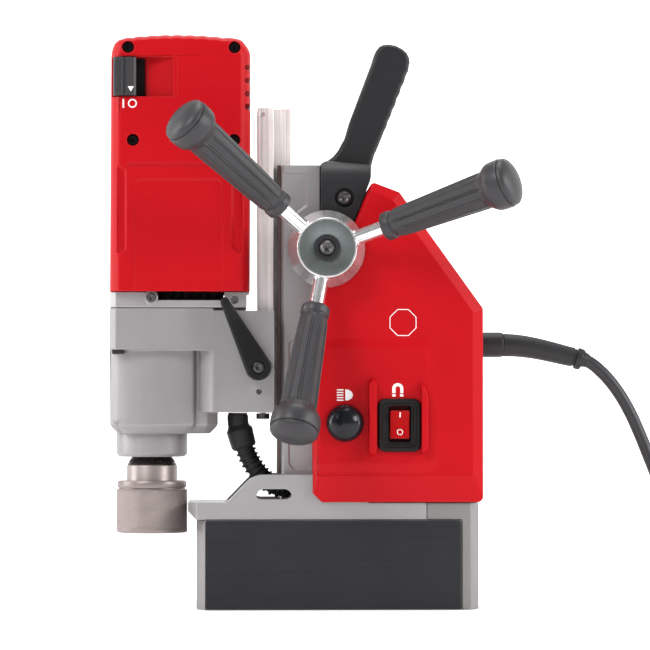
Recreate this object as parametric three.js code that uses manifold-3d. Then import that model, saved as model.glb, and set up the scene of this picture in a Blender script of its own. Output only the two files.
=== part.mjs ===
// Electromagnetic drill press: a magnet foot with a cast column, a motor unit that
// feeds up and down on a steel slide, a three-spoke feed hub and a carrying handle.
// Millimetres, +Z up. Origin: centre of the magnet's working (bottom) face.
// +X points to the rear of the machine (cable side), -Y is the operator's side.
import * as THREE from 'three';
import { mergeVertices } from 'three/addons/utils/BufferGeometryUtils.js';
import Module from 'manifold-3d';

const wasm = await Module();
wasm.setup();

// ---------------------------------------------------------------- dimensions
const GAP = 0.3;                    // clearance between touching pieces

const MAG_X0 = -95, MAG_X1 = 94.6;  // magnet foot
const MAG_HALF_Y = 40, MAG_TOP = 60, MAG_HIGH = 71.7;
const MAG_STEP_X = 59.3;            // the foot is higher behind this plane
const MAG_CH_X = 6, MAG_CH_Y = 12;  // vertical corner chamfer

const FLANGE_TOP = 71.7, FLANGE_X0 = -100.8;
const HUMP_TOP = 90.4, COL_X0 = -38, COL_X1 = 26, COL_HALF_Y = 25;
const COL_TOP = 299, COL_STEP_Z = 254, COL_TOP_X1 = -12;

const RAIL_X0 = -54, RAIL_HEAD_X1 = -43.3, RAIL_X1 = -31.5;
const RAIL_HALF_Y = 22, RAIL_Z0 = 131.7, RAIL_Z1 = 338;

const HUB_X = -8.5, HUB_Z = 241.1;  // feed hub axis (along Y)
const PINION_M = 1.5, PINION_N = 16, PINION_R = 12;
const RACK_PITCH_X = HUB_X - PINION_R;
const RACK_Z0 = 134, RACK_Z1 = 293;

const COVER_HALF_Y = 46, COVER_T = 2.5;
const SP_X = -125.5;                // spindle axis
const MOT_X = -108;                 // armature axis
const GEAR_M1 = 0.8, ARM_N = 7, IDLER_BIG_N = 35;
const GEAR_M2 = 1.25, IDLER_SMALL_N = 8, SPINDLE_N = 32;
const IDLER_X = -106.96, IDLER_Y = 16.77;

const LEVER_X = -53.7, LEVER_Z = 162;
const SPOKE_ANGLES = [19.3, 139.3, 259.3], SPOKE_TILT = 25.5, SPOKE_Y = -51.5;

const CORD_R = 4.3, COIL_CX = 294, COIL_CY = 35, COIL_R0 = 30, COIL_R1 = 73.2, COIL_H = 17.6;

// ------------------------------------------------------------------- helpers
const V2 = (x, y) => new THREE.Vector2(x, y);
const V3 = (x, y, z) => new THREE.Vector3(x, y, z);
const RAD = Math.PI / 180;

function clean(geometry) {
  let g = geometry.clone();
  g.deleteAttribute('normal');
  g.deleteAttribute('uv');
  g = mergeVertices(g, 1e-4);
  return g;
}
function toSolid(geometry) {
  const g = clean(geometry);
  const idx = Array.from(g.index.array);
  const p = g.attributes.position.array;
  // drop collapsed triangles, and turn the skin outward if its volume is negative
  const tri = [];
  let vol = 0;
  for (let i = 0; i < idx.length; i += 3) {
    const [a, b, c] = [idx[i], idx[i + 1], idx[i + 2]];
    if (a === b || b === c || a === c) continue;
    tri.push(a, b, c);
    const A = V3(p[3 * a], p[3 * a + 1], p[3 * a + 2]);
    const B = V3(p[3 * b], p[3 * b + 1], p[3 * b + 2]);
    const C = V3(p[3 * c], p[3 * c + 1], p[3 * c + 2]);
    vol += A.dot(B.cross(C));
  }
  if (vol < 0) for (let i = 0; i < tri.length; i += 3) [tri[i + 1], tri[i + 2]] = [tri[i + 2], tri[i + 1]];
  return new wasm.Manifold(new wasm.Mesh({
    numProp: 3,
    vertProperties: new Float32Array(p),
    triVerts: new Uint32Array(tri),
  }));
}
function fromSolid(solid) {
  const m = solid.getMesh();
  const g = new THREE.BufferGeometry();
  const n = m.numProp, count = m.vertProperties.length / n;
  const pos = new Float32Array(count * 3);
  for (let i = 0; i < count; i++) for (let k = 0; k < 3; k++) pos[3 * i + k] = m.vertProperties[n * i + k];
  g.setAttribute('position', new THREE.BufferAttribute(pos, 3));
  g.setIndex(new THREE.BufferAttribute(new Uint32Array(m.triVerts), 1));
  g.computeVertexNormals();
  return g;
}
const add = (...s) => s.reduce((a, b) => a.add(b));
const cut = (a, ...s) => s.reduce((x, y) => x.subtract(y), a);
const both = (a, b) => a.intersect(b);

function shapeOf(pts, holes = []) {
  const s = new THREE.Shape(pts.map(([x, y]) => V2(x, y)));
  for (const h of holes) s.holes.push(new THREE.Path(h.map(([x, y]) => V2(x, y))));
  return s;
}
const extr = (pts, depth, holes) =>
  new THREE.ExtrudeGeometry(shapeOf(pts, holes), { depth, bevelEnabled: false, steps: 1 });
// prisms: outline in XY, XZ or YZ, run along the third axis
const prismZ = (pts, z0, z1, holes) => toSolid(extr(pts, z1 - z0, holes).translate(0, 0, z0));
const prismY = (pts, y0, y1, holes) => toSolid(extr(pts, y1 - y0, holes).rotateX(Math.PI / 2).translate(0, y1, 0));
const permute = new THREE.Matrix4().set(0, 0, 1, 0, 1, 0, 0, 0, 0, 1, 0, 0, 0, 0, 0, 1);
const prismX = (pts, x0, x1, holes) => toSolid(extr(pts, x1 - x0, holes).applyMatrix4(permute).translate(x0, 0, 0));
const rect = (a0, a1, b0, b1) => [[a0, b0], [a1, b0], [a1, b1], [a0, b1]];
const box = (x0, x1, y0, y1, z0, z1) =>
  toSolid(new THREE.BoxGeometry(x1 - x0, y1 - y0, z1 - z0).translate((x0 + x1) / 2, (y0 + y1) / 2, (z0 + z1) / 2));
const ring = (cx, cy, r, n, a0 = 0) =>
  Array.from({ length: n }, (_, i) => [cx + r * Math.cos(a0 + (2 * Math.PI * i) / n), cy + r * Math.sin(a0 + (2 * Math.PI * i) / n)]);
// turned pieces: profile [r, h] closed on the axis, or closed on itself with loop = true
function lathe(profile, n = 24, loop = false) {
  const pts = profile.map(([r, h]) => V2(r, h));
  if (loop) pts.push(pts[0].clone());
  return new THREE.LatheGeometry(pts, n);
}
const latheZ = (profile, cx, cy, n = 24, loop = false) =>
  toSolid(lathe(profile, n, loop).rotateX(Math.PI / 2).translate(cx, cy, 0));
// height h of the profile is the Y coordinate
const latheY = (profile, cx, cz, n = 24, loop = false) => toSolid(lathe(profile, n, loop).translate(cx, 0, cz));
// height h of the profile is the X coordinate
const latheX = (profile, cy, cz, n = 24, loop = false) =>
  toSolid(lathe(profile, n, loop).rotateZ(-Math.PI / 2).translate(0, cy, cz));
const cylZ = (cx, cy, r, z0, z1, n = 24) => latheZ([[0, z0], [r, z0], [r, z1], [0, z1]], cx, cy, n);
const cylY = (cx, cz, r, y0, y1, n = 24) => latheY([[0, y0], [r, y0], [r, y1], [0, y1]], cx, cz, n);
const cylX = (cy, cz, r, x0, x1, n = 24) => latheX([[0, x0], [r, x0], [r, x1], [0, x1]], cy, cz, n);
const tubeZ = (cx, cy, r0, r1, z0, z1, n = 24) => latheZ([[r0, z0], [r1, z0], [r1, z1], [r0, z1]], cx, cy, n, true);
const tubeY = (cx, cz, r0, r1, y0, y1, n = 24) => latheY([[r0, y0], [r1, y0], [r1, y1], [r0, y1]], cx, cz, n, true);
// outline of a spur gear with straight-flanked teeth, a tooth centred on angle a0
function gearOutline(cx, cy, m, n, a0, slack = 0.86, tip = 0.85, root = 1.1) {
  const rp = (m * n) / 2, rt = rp + tip * m, rr = rp - root * m, pts = [];
  for (let i = 0; i < n; i++) {
    const a = a0 + (2 * Math.PI * i) / n, w = Math.PI / n;
    for (const [r, f] of [[rr, -0.78], [rt, -0.3], [rt, 0.3], [rr, 0.78]])
      pts.push([cx + r * Math.cos(a + f * w * slack), cy + r * Math.sin(a + f * w * slack)]);
  }
  return pts;
}
// tube of constant section along a smooth curve
function tubeAlong(points, r, sides, steps) {
  const curve = new THREE.CatmullRomCurve3(points, false, 'centripetal');
  const section = new THREE.Shape(ring(0, 0, r, sides).map(([x, y]) => V2(x, y)));
  return toSolid(new THREE.ExtrudeGeometry(section, { steps, bevelEnabled: false, extrudePath: curve }));
}

const group = new THREE.Group();
const paint = {
  steel: [0xaea6a5, 0.38, 0.9], brightSteel: [0xd9d4d3, 0.22, 1], panel: [0x36373b, 0.5, 0.2],
  cast: [0xa9a9aa, 0.5, 0.75], red: [0xd2121c, 0.34, 0], black: [0x2c2c2e, 0.5, 0],
  grip: [0x454346, 0.6, 0], rubber: [0x1e1f20, 0.75, 0], chrome: [0xe8e8ea, 0.08, 1],
  brass: [0xb08d4a, 0.4, 0.9], copper: [0xb0683a, 0.4, 0.9], satin: [0xa5968f, 0.42, 0.9],
  screw: [0x3c3c3e, 0.35, 0.8], board: [0x1f5a35, 0.6, 0], resin: [0x222226, 0.5, 0],
  oxide: [0x242426, 0.4, 0.7], rocker: [0xc4151b, 0.25, 0], lamination: [0x77777a, 0.5, 0.8],
};
function piece(name, solid, key) {
  const [color, roughness, metalness] = paint[key];
  const mesh = new THREE.Mesh(solid.isBufferGeometry ? solid : fromSolid(solid),
    new THREE.MeshStandardMaterial({ color, roughness, metalness }));
  mesh.name = name;
  group.add(mesh);
  return mesh;
}

// ============================================================ magnet foot
const footPlan = (x0, x1) => [
  [x0, -MAG_HALF_Y + MAG_CH_Y], [x0 + MAG_CH_X, -MAG_HALF_Y], [x1 - MAG_CH_X, -MAG_HALF_Y], [x1, -MAG_HALF_Y + MAG_CH_Y],
  [x1, MAG_HALF_Y - MAG_CH_Y], [x1 - MAG_CH_X, MAG_HALF_Y], [x0 + MAG_CH_X, MAG_HALF_Y], [x0, MAG_HALF_Y - MAG_CH_Y]];
// racetrack slot for the winding, open at the working face
const slotOut = (g) => rect(-78 + g, 78 - g, -30 + g, 30 - g);
const slotIn = (g) => rect(-60 - g, 60 + g, -12 - g, 12 + g);
const COIL_SLOT_TOP = 45;
{
  let s = prismZ(footPlan(MAG_X0, MAG_X1), 0, MAG_HIGH);
  s = cut(s, box(MAG_X0 - 5, MAG_STEP_X, -60, 60, MAG_TOP, MAG_HIGH + 5));
  s = cut(s, prismZ(slotOut(0), -5, COIL_SLOT_TOP, [slotIn(0)]));
  piece('magnet_body', s, 'steel');
  piece('magnet_coil', prismZ(slotOut(GAP), 6, COIL_SLOT_TOP - GAP, [slotIn(GAP)]), 'copper');
  piece('coil_potting', prismZ(slotOut(GAP), 0.2, 6 - GAP, [slotIn(GAP)]), 'resin');
  for (const [name, s0] of [['side_panel_front', -1], ['side_panel_rear', 1]]) {
    const a = s0 * (MAG_HALF_Y + GAP), b = s0 * (MAG_HALF_Y + 1.6);
    piece(name, box(-89.2, 82, Math.min(a, b), Math.max(a, b), 0.4, 59.6), 'panel');
  }
}

// ============================================================ stand casting
const dove = (x, extra) => 9.6 + (x + 43.3) * 0.5 + extra;   // half width of the slide's dovetail at x
{
  const top = FLANGE_TOP, z0 = MAG_TOP + GAP, x1 = MAG_STEP_X - GAP;
  let s = prismY([[FLANGE_X0, top], [FLANGE_X0, 65.8], [-95.3, z0], [x1, z0], [x1, top]], -MAG_HALF_Y, MAG_HALF_Y);
  s = both(s, prismZ([[FLANGE_X0, -28], [-95, -40], [70, -40], [70, 40], [-95, 40], [FLANGE_X0, 28]], 50, 80));
  // raised cheeks beside the slide, hollow between them, solid under the column
  const hump = [[-75, top - 1], [-75, top], [-60.5, 86.6], [-57.5, 89], [-53.5, HUMP_TOP], [20, HUMP_TOP], [20, top - 1]];
  s = add(s, prismY(hump, -MAG_HALF_Y, MAG_HALF_Y));
  s = cut(s, box(-80, COL_X0, -34, 34, top, HUMP_TOP + 5));
  // column, stepped at the top where the handle's lug stands
  const col = prismZ([[COL_X0, -COL_HALF_Y + 2], [COL_X0 + 1.8, -COL_HALF_Y], [COL_X1, -COL_HALF_Y], [COL_X1, COL_HALF_Y],
    [COL_X0 + 1.8, COL_HALF_Y], [COL_X0, COL_HALF_Y - 2]], top - 1, COL_TOP);
  s = add(s, cut(col, box(COL_TOP_X1, COL_X1 + 5, -40, 40, COL_STEP_Z, COL_TOP + 5)));
  s = add(s, box(COL_TOP_X1 - 1, 14, -8, 8, COL_STEP_Z - 1, 288));
  // guide slot for the dovetail, rack channel, pinion chamber and bearing bores
  s = cut(s, prismZ([[COL_X0 - 2, -dove(COL_X0 - 2, 0.4)], [RAIL_X1 + 0.5, -dove(RAIL_X1, 0.5)], [RAIL_X1 + 0.5, dove(RAIL_X1, 0.5)],
    [COL_X0 - 2, dove(COL_X0 - 2, 0.4)]], 86, COL_TOP + 5));
  s = cut(s, box(RAIL_X1, -18, -8.6, 8.6, 86, COL_TOP + 5));
  s = cut(s, cylY(HUB_X, HUB_Z, 14.4, -10, 10, 32), cylY(HUB_X, HUB_Z, 10.5, -30, 30, 32));
  // strap slot through both cheeks, and the cable passage under the column
  const slot = [[-55.3, 76.2], [-54, 74.6], [-52, 74], [-35, 74], [-32.4, 75], [-31.2, 77], [-33, 79.6], [-35.4, 80.7], [-50.5, 80.7], [-53.4, 79.4]];
  s = cut(s, prismY(slot, -50, 50));
  s = cut(s, box(-45, 30, -8, 8, 73, 88));
  s = cut(s, cylY(4, 276, 3, -12, 12, 16));
  piece('stand_casting', s, 'cast');

  // gib strips that close the guide slot, one each side of the dovetail
  for (const [name, sgn] of [['gib_front', -1], ['gib_rear', 1]]) {
    const xa = -40.6, xb = COL_X0 - GAP;
    const pts = [[xa, sgn * dove(xa, 0.4)], [xb, sgn * dove(xb, 0.4)], [xb, sgn * 21], [xa, sgn * 21]];
    piece(name, prismZ(sgn < 0 ? pts : pts.slice().reverse(), 91, COL_TOP), 'brass');
  }
}

// ======================================================= slide (feed carriage)
{
  const plan = [[RAIL_X0, -RAIL_HALF_Y], [RAIL_HEAD_X1, -RAIL_HALF_Y], [RAIL_HEAD_X1, -dove(RAIL_HEAD_X1, 0)], [RAIL_X1, -dove(RAIL_X1, 0)],
    [RAIL_X1, dove(RAIL_X1, 0)], [RAIL_HEAD_X1, dove(RAIL_HEAD_X1, 0)], [RAIL_HEAD_X1, RAIL_HALF_Y], [RAIL_X0, RAIL_HALF_Y]];
  let s = prismZ(plan, RAIL_Z0, RAIL_Z1);
  s = cut(s, cylZ(-49.5, 0, 2.2, RAIL_Z0 - 1, RAIL_Z0 + 14, 12));
  piece('slide_rail', s, 'steel');
  piece('rail_stop_screw', latheZ([[0, 127.6], [3.7, 127.6], [3.7, RAIL_Z0 - GAP], [1.9, RAIL_Z0 - GAP], [1.9, RAIL_Z0 + 12], [0, RAIL_Z0 + 12]], -49.5, 0, 16), 'screw');
  // rack: straight teeth on the pitch line, in step with the pinion
  const p = Math.PI * PINION_M, tipX = RACK_PITCH_X + 0.85 * PINION_M, rootX = RACK_PITCH_X - 1.1 * PINION_M, k = 0.86;
  const pts = [[RAIL_X1 + GAP, RACK_Z0], [rootX, RACK_Z0]];
  // pinion has a tooth centred on -X, so the rack has a space centred on the hub height
  for (let i = -60; i < 60; i++) {
    const zc = HUB_Z + (i + 0.5) * p;
    if (zc - p * 0.5 < RACK_Z0 || zc + p * 0.5 > RACK_Z1) continue;
    pts.push([rootX, zc - 0.39 * p * k], [tipX, zc - 0.15 * p * k], [tipX, zc + 0.15 * p * k], [rootX, zc + 0.39 * p * k]);
  }
  pts.push([rootX, RACK_Z1], [RAIL_X1 + GAP, RACK_Z1]);
  piece('feed_rack', prismY(pts, -8, 8), 'brightSteel');
}

// ============================================================ feed shaft and hub
{
  piece('pinion_bush_front', tubeY(HUB_X, HUB_Z, 8.3, 10.2, -25, -13), 'brass');
  piece('pinion_bush_rear', tubeY(HUB_X, HUB_Z, 8.3, 10.2, 13, 25), 'brass');
  let shaft = cylY(HUB_X, HUB_Z, 8, -61.5, 24.6, 24);
  shaft = add(shaft, prismY(gearOutline(HUB_X, HUB_Z, PINION_M, PINION_N, Math.PI), -8.5, 8.5));
  piece('pinion_shaft', shaft, 'brightSteel');
  // hub: neck, rim, cone and flat face, bored from behind for the shaft
  const prof = [[8.3, -26], [8.3, -62], [0, -62], [0, -67], [19.2, -67], [20.2, -66.2], [25.8, -50.5], [25.8, -48.3], [14, -48.3], [14, -26]];
  let hub = latheY(prof.concat([prof[0]]), HUB_X, HUB_Z, 32);
  // spoke seats
  const O = V3(HUB_X, SPOKE_Y, HUB_Z);
  const dirs = SPOKE_ANGLES.map((a) => V3(Math.cos(a * RAD) * Math.cos(SPOKE_TILT * RAD), -Math.sin(SPOKE_TILT * RAD), Math.sin(a * RAD) * Math.cos(SPOKE_TILT * RAD)));
  // a turned piece whose axis runs from O along a spoke direction
  const along = (profile, dir, n, loop) => {
    const g = lathe(profile, n, loop);
    g.applyQuaternion(new THREE.Quaternion().setFromUnitVectors(V3(0, 1, 0), dir));
    return toSolid(g.translate(O.x, O.y, O.z));
  };
  for (const d of dirs) hub = cut(hub, along([[0, 14], [5.3, 14], [5.3, 60], [0, 60]], d, 16));
  piece('feed_hub', hub, 'brightSteel');
  piece('hub_ring', tubeY(HUB_X, HUB_Z, 5.8, 7.9, -69.6, -67.3, 24), 'black');
  piece('hub_screw', latheY([[0, -67.3], [5.4, -67.3], [5.4, -69.6], [3.9, -71.6], [0, -71.6]].reverse(), HUB_X, HUB_Z, 20), 'screw');
  dirs.forEach((d, i) => {
    const tag = 'abc'[i];
    piece('spoke_' + tag, along([[0, 14.4], [5, 14.4], [5, 124], [0, 124]], d, 16), 'chrome');
    const t0 = 44.5, t1 = 143;
    const p = [[5.3, t0], [8.2, t0], [9, t0 + 1.2], [9, t0 + 5.5], [8.1, t0 + 6.5], [8.4, t0 + 8], [9.4, t0 + 12], [11.4, 116], [11.9, 120],
      [14.8, 123.5], [16.3, 127], [16.4, 136.8], [15.8, 139.3], [12, 141.6], [6, t1 - 0.3], [0, t1], [0, 124.4], [5.3, 124.4]];
    piece('grip_' + tag, along(p.concat([p[0]]), d, 14), 'grip');
  });
}

// ============================================================ cover and controls
const HUBCUT = 15;
{
  const outline = [[-17.3, 77.9], [-11.2, 72], [93.4, 72], [96.8, 75.4], [96.8, 201.8], [54.9, 259.2], [40.8, 279.6], [22.2, 286.6], [10.9, 259.2], [8.8, 254.3], [-17.3, 254.3]];
  const inner = [[-14.8, 68], [94.3, 68], [94.3, 201], [52.8, 257.8], [39.2, 277.6], [23.6, 283.5], [12.6, 256.8], [9.6, 251.8], [-14.8, 251.8]];
  let s = prismY(outline, -COVER_HALF_Y, COVER_HALF_Y);
  const depth = COVER_HALF_Y - COVER_T;
  s = cut(s, prismY(inner, -depth, depth));
  // openings for the column, its top step, the pinion neck and the controls
  s = cut(s, box(-20, -12, -COL_HALF_Y - 0.5, COL_HALF_Y + 0.5, 60, 260));
  s = cut(s, box(-20, COL_X1 + 0.5, -COL_HALF_Y - 0.5, COL_HALF_Y + 0.5, 240, 260), box(-20, 14.6, -8.6, 8.6, 250, 290));
  s = cut(s, box(-20, 22, -MAG_HALF_Y - 0.4, MAG_HALF_Y + 0.4, 60, HUMP_TOP + 0.4));
  s = cut(s, cylY(HUB_X, HUB_Z, HUBCUT, -50, -20, 24), box(-20, HUB_X, -50, -20, HUB_Z, 260));
  s = cut(s, cylY(4.1, 124.8, 6.4, -50, -40, 20));
  s = cut(s, box(28.6, 52.4, -50, -40, 108.4, 138.9));
  s = cut(s, cylX(0, 178.2, 7.2, 90, 100, 20));
  piece('stand_cover', s, 'red');

  piece('light_switch_body', cut(box(-6, 14, -43.2, -25.4, 115, 135), cylY(4.1, 124.8, 6, -50, -31, 20)), 'black');
  piece('light_button', latheY([[0, -57.6], [4.5, -57], [8.6, -55.2], [11.2, -52.4], [12.2, -49.8], [5.6, -49.8], [5.6, -36], [0, -36]], 4.1, 124.8, 24), 'rubber');

  // rocker switch: frame with its barrel behind the cover, and the rocker
  let f = add(box(26.6, 54.6, -49.2, -46.3, 106.3, 141), box(29, 52, -46.4, -27, 108.8, 138.5));
  f = cut(f, box(33.9, 47.3, -55, -30, 113.8, 135.5));
  piece('switch_frame', f, 'rubber');
  const py = -44.6, pz = 124.65, tilt = 8 * RAD;
  const prof = [[5.4, -9.35], [4.3, 0], [5.4, 9.35], [-4, 6], [-4, -6]].map(([u, w]) => {
    // u runs toward the operator; the rocker rests tipped with its lower half pressed in
    const U = u * Math.cos(tilt) + w * Math.sin(tilt), W = w * Math.cos(tilt) - u * Math.sin(tilt);
    return [py - U, pz + W];
  });
  piece('magnet_rocker', prismX(prof, 34.3, 46.9), 'rocker');

  // control board with its transformer and relay
  const board = add(box(34, 90, 27, 29, 100, 190), box(40, 70, 10, 27.5, 110, 140), box(44, 62, 16, 27.5, 152, 176), box(70, 84, 19, 27.5, 150, 184));
  piece('control_board', board, 'board');
}

// ============================================================ carrying handle
{
  const contour = [[-11.6, 299.9], [-8.3, 301.6], [-2.8, 305.7], [0.5, 309.8], [2.6, 313.8], [5.3, 318.5], [8.7, 330.1], [14.8, 346.3], [20.9, 362.6], [24.2, 371.2], [25, 374.5], [26.4, 377.9], [28.6, 380.6], [31.2, 382], [35, 382.5], [40, 381.6], [44.6, 379.2], [47.6, 376.6], [49.2, 373.2], [49.6, 369.6], [47.6, 362.6], [44.4, 354.6], [41.4, 346.8], [38.2, 338.6], [34.8, 330.2], [31.6, 321.9], [28.4, 313.8], [25.2, 306.4], [23.4, 299.6], [22.6, 293], [21.4, 287.5]];
  const grip = contour.concat([[16, 276], [-11.6, 276]]);
  const foot = [[-11.6, 256], [-11.6, 299.6], [-8.3, 301.6], [23.2, 299.6], [22.6, 293], [21.4, 287.5], [10.2, 259.6], [8.8, 256]];
  let s = add(prismY(grip, -15, 15), prismY(foot, -38, 38));
  s = cut(s, box(-12, 14.5, -8.4, 8.4, 250, 288.5));
  s = cut(s, cylY(4.1, 276, 5.9, -40, -34.4, 24), cylY(4.1, 276, 3.2, -35, 0, 16));
  s = cut(s, cylY(4.1, 276, 5.9, 34.4, 40, 24), cylY(4.1, 276, 3.2, 0, 35, 16));
  piece('carry_handle', s, 'black');
  piece('handle_screw', latheY([[0, -38.6], [4.4, -38.2], [5.5, -36.4], [5.5, -34.7], [2.8, -34.7], [2.8, 34.7], [5.5, 34.7], [5.5, 36.4], [4.4, 38.2], [0, 38.6]], 4.1, 276, 16), 'screw');
}

// ============================================================ drill unit
// front outline of the motor housing
const motorFront = [[-153.2, 213], [-153, 250], [-152.9, 290], [-152.6, 330], [-152.5, 371], [-152.2, 373.8], [-151.5, 376.5], [-150.5, 379.2], [-149.2, 380.7], [-147.6, 382], [-142.4, 383.7], [-136.4, 384.3], [-120, 385.6], [-106, 385.7], [-93, 385.2], [-79.4, 384.5], [-72.7, 384], [-67.3, 383.1], [-64.6, 381.9], [-62.6, 379.5], [-60.9, 377.2], [-59.6, 374.5], [-59, 371.8], [-59, 330], [-59.4, 213]];
{
  let s = prismY(motorFront, -45, 45);
  // softened front and back edges, in plan
  s = both(s, prismZ([[-160, -36], [-155, -42], [-149, -45], [-66, -45], [-61, -42], [-58, -36], [-58, 36], [-61, 42], [-66, 45], [-149, 45], [-155, 42], [-160, 36]], 200, 400));
  s = cut(s, cylZ(MOT_X, 0, 40.6, 205, 334, 32), cylZ(MOT_X, 0, 24, 333, 352, 28));
  // switch recess, open to the left flank, with a ramp on its right
  s = cut(s, prismZ([[-165, -50], [-109, -50], [-109, -45], [-126, -39], [-165, -39]], 343.2, 369.8));
  // cooling slots in the right flank
  for (const z of [336.9, 345.6, 354.4, 363.2]) s = cut(s, box(-66, -50, -30, 30, z - 2.2, z + 2.2));
  for (const [x, z] of [[-141, 376.4], [-69.8, 376.4], [-137.7, 314.2], [-70, 314.2]]) s = cut(s, cylY(x, z, 3.9, -60, -37.6, 16));
  piece('motor_housing', s, 'red');
  [[-141, 376.4], [-69.8, 376.4], [-137.7, 314.2], [-70, 314.2]].forEach(([x, z], i) =>
    piece('motor_screw_' + (i + 1), cylY(x, z, 3.5, -42.6, -38, 12), 'screw'));
  piece('motor_switch', prismZ([[-150.9, -47.2], [-149.6, -48.2], [-136.8, -48.2], [-135.5, -47.2], [-135.5, -39.3], [-150.9, -39.3]], 343.7, 369.3), 'black');
  piece('stator', tubeZ(MOT_X, 0, 21.5, 39.7, 228, 306, 24), 'lamination');
}
{
  // gear plate between motor and gearbox: a slab with raised ends, air leaves between them
  let s = add(box(-152, -61.5, -38, 38, 202.3, 207.3), box(-152, -121.6, -38, 38, 207, 212.7), box(-76.4, -61.5, -38, 38, 207, 212.7));
  s = both(s, prismZ([[-152, -34], [-148, -38], [-61.5, -38], [-61.5, 38], [-148, 38], [-152, 34]], 200, 214));
  s = cut(s, cylZ(MOT_X, 0, 6, 195, 220, 20));
  s = cut(s, cylY(-125.4, 209.2, 1.9, -50, -26, 12));
  piece('gear_plate', s, 'cast');
  piece('gear_plate_screw', latheY([[0, -41.4], [3.3, -41.4], [3.3, -38.3], [1.6, -38.3], [1.6, -28], [0, -28]], -125.4, 209.2, 12), 'screw');
}
{
  // gearbox casting: flat top block, bracket that grips the slide, round nose and bearing collar
  let s = prismZ([[-152, -34], [-148, -38], [-43, -38], [-43, 38], [-148, 38], [-152, 34]], 174, 202);
  s = cut(s, box(-84, -40, -50, 50, 200, 205));
  s = add(s, prismZ([[-93, -29], [-84, -38], [-43, -38], [-43, 38], [-84, 38], [-93, 29]], 132, 200));
  const low = (ofs) => [[-153.4 + ofs, -20 + ofs * 0.4], [-149 + ofs, -25 + ofs], [-88 - ofs, -25 + ofs], [-80.8 - ofs, -18], [-80.8 - ofs, 18], [-88 - ofs, 25 - ofs], [-149 + ofs, 25 - ofs], [-153.4 + ofs, 20 - ofs * 0.4]];
  s = add(s, prismZ(low(0), 123, 176), prismZ(low(2.6), 120.4, 124), prismZ(low(5.4), 117.7, 121));
  let nose = latheZ([[0, 117.7], [27.5, 117.7], [32.5, 122.8], [32.5, 176], [0, 176]], SP_X, 0, 36);
  nose = both(nose, box(-153.4, -80, -60, 60, 100, 180));
  s = add(s, nose, cylZ(SP_X, 0, 24, 102, 119, 40));
  // gear chamber under the plate, spindle bore and bearing seat
  s = cut(s, box(-147.8, -88, -33, 33, 178, 210));
  s = cut(s, cylZ(SP_X, 0, 13, 95, 185, 28), cylZ(SP_X, 0, 20.3, 95, 118, 32));
  // channel for the slide, open toward the column, and its clamping bore
  s = cut(s, box(RAIL_X0 - GAP, -30, -RAIL_HALF_Y - GAP, RAIL_HALF_Y + GAP, 120, 210));
  s = cut(s, cylY(LEVER_X, LEVER_Z, 2.4, -45, -20, 16), cylY(LEVER_X + 0.5, 146, 1.7, -45, -34, 12));
  // cable entry beneath the bracket
  s = cut(s, cylZ(-67.2, 0, 5.2, 125, 176, 16));
  piece('gearbox_housing', s, 'cast');
  piece('spindle_bearing', tubeZ(SP_X, 0, 12, 20, 104, 117.4, 28), 'brightSteel');
}
{
  // gear train: armature pinion, idler pair, spindle wheel
  const aArm = Math.atan2(IDLER_Y, IDLER_X - MOT_X), aSp = Math.atan2(IDLER_Y, IDLER_X - SP_X);
  let arm = latheZ([[0, 191], [1.7, 191], [1.7, 201.5], [4, 202], [4, 216], [30, 216], [32, 222], [30, 222.8], [6, 222.8], [6, 231], [19.6, 231], [19.6, 300], [8, 301], [8, 309], [12, 309], [12, 325], [4.5, 326], [4.5, 345], [0, 345]], MOT_X, 0, 16);
  arm = add(arm, prismZ(gearOutline(MOT_X, 0, GEAR_M1, ARM_N, aArm), 192.2, 200.6));
  piece('armature', arm, 'lamination');
  let idl = prismZ(gearOutline(IDLER_X, IDLER_Y, GEAR_M1, IDLER_BIG_N, aArm + Math.PI + Math.PI / IDLER_BIG_N), 193, 199.6);
  idl = add(idl, prismZ(gearOutline(IDLER_X, IDLER_Y, GEAR_M2, IDLER_SMALL_N, aSp + Math.PI), 181, 193.4), cylZ(IDLER_X, IDLER_Y, 2.9, 178.5, 201.8, 12));
  piece('idler_gear', idl, 'brightSteel');
  const wheel = cut(prismZ(gearOutline(SP_X, 0, GEAR_M2, SPINDLE_N, aSp + Math.PI / SPINDLE_N), 182, 191), cylZ(SP_X, 0, 8.3, 180, 195, 20));
  piece('spindle_gear', wheel, 'brightSteel');
  piece('spindle_shaft', latheZ([[0, 100.2], [11.7, 100.2], [11.7, 181.6], [8, 181.6], [8, 201.6], [0, 201.6]], SP_X, 0, 24), 'brightSteel');
  // arbor body with its 19 mm socket
  piece('arbor_body', latheZ([[9.55, 51], [17.2, 51], [17.2, 96.4], [13.3, 101.7], [12.3, 101.7], [12.3, 99.8], [0, 99.8], [0, 88], [9.55, 88]].concat([[9.55, 51]]), SP_X, 0, 32), 'satin');
  // quick-change sleeve: knurled lower part, groove and upper ring
  piece('knurled_sleeve', latheZ([[17.6, 50.5], [23.3, 50.5], [23.9, 51.3], [23.9, 79.6], [22.6, 80.2], [22.6, 81], [23.4, 81.4], [23.4, 85.2], [22.8, 85.9], [17.6, 85.9]].concat([[17.6, 50.5]]), SP_X, 0, 28), 'satin');
}
{
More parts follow.
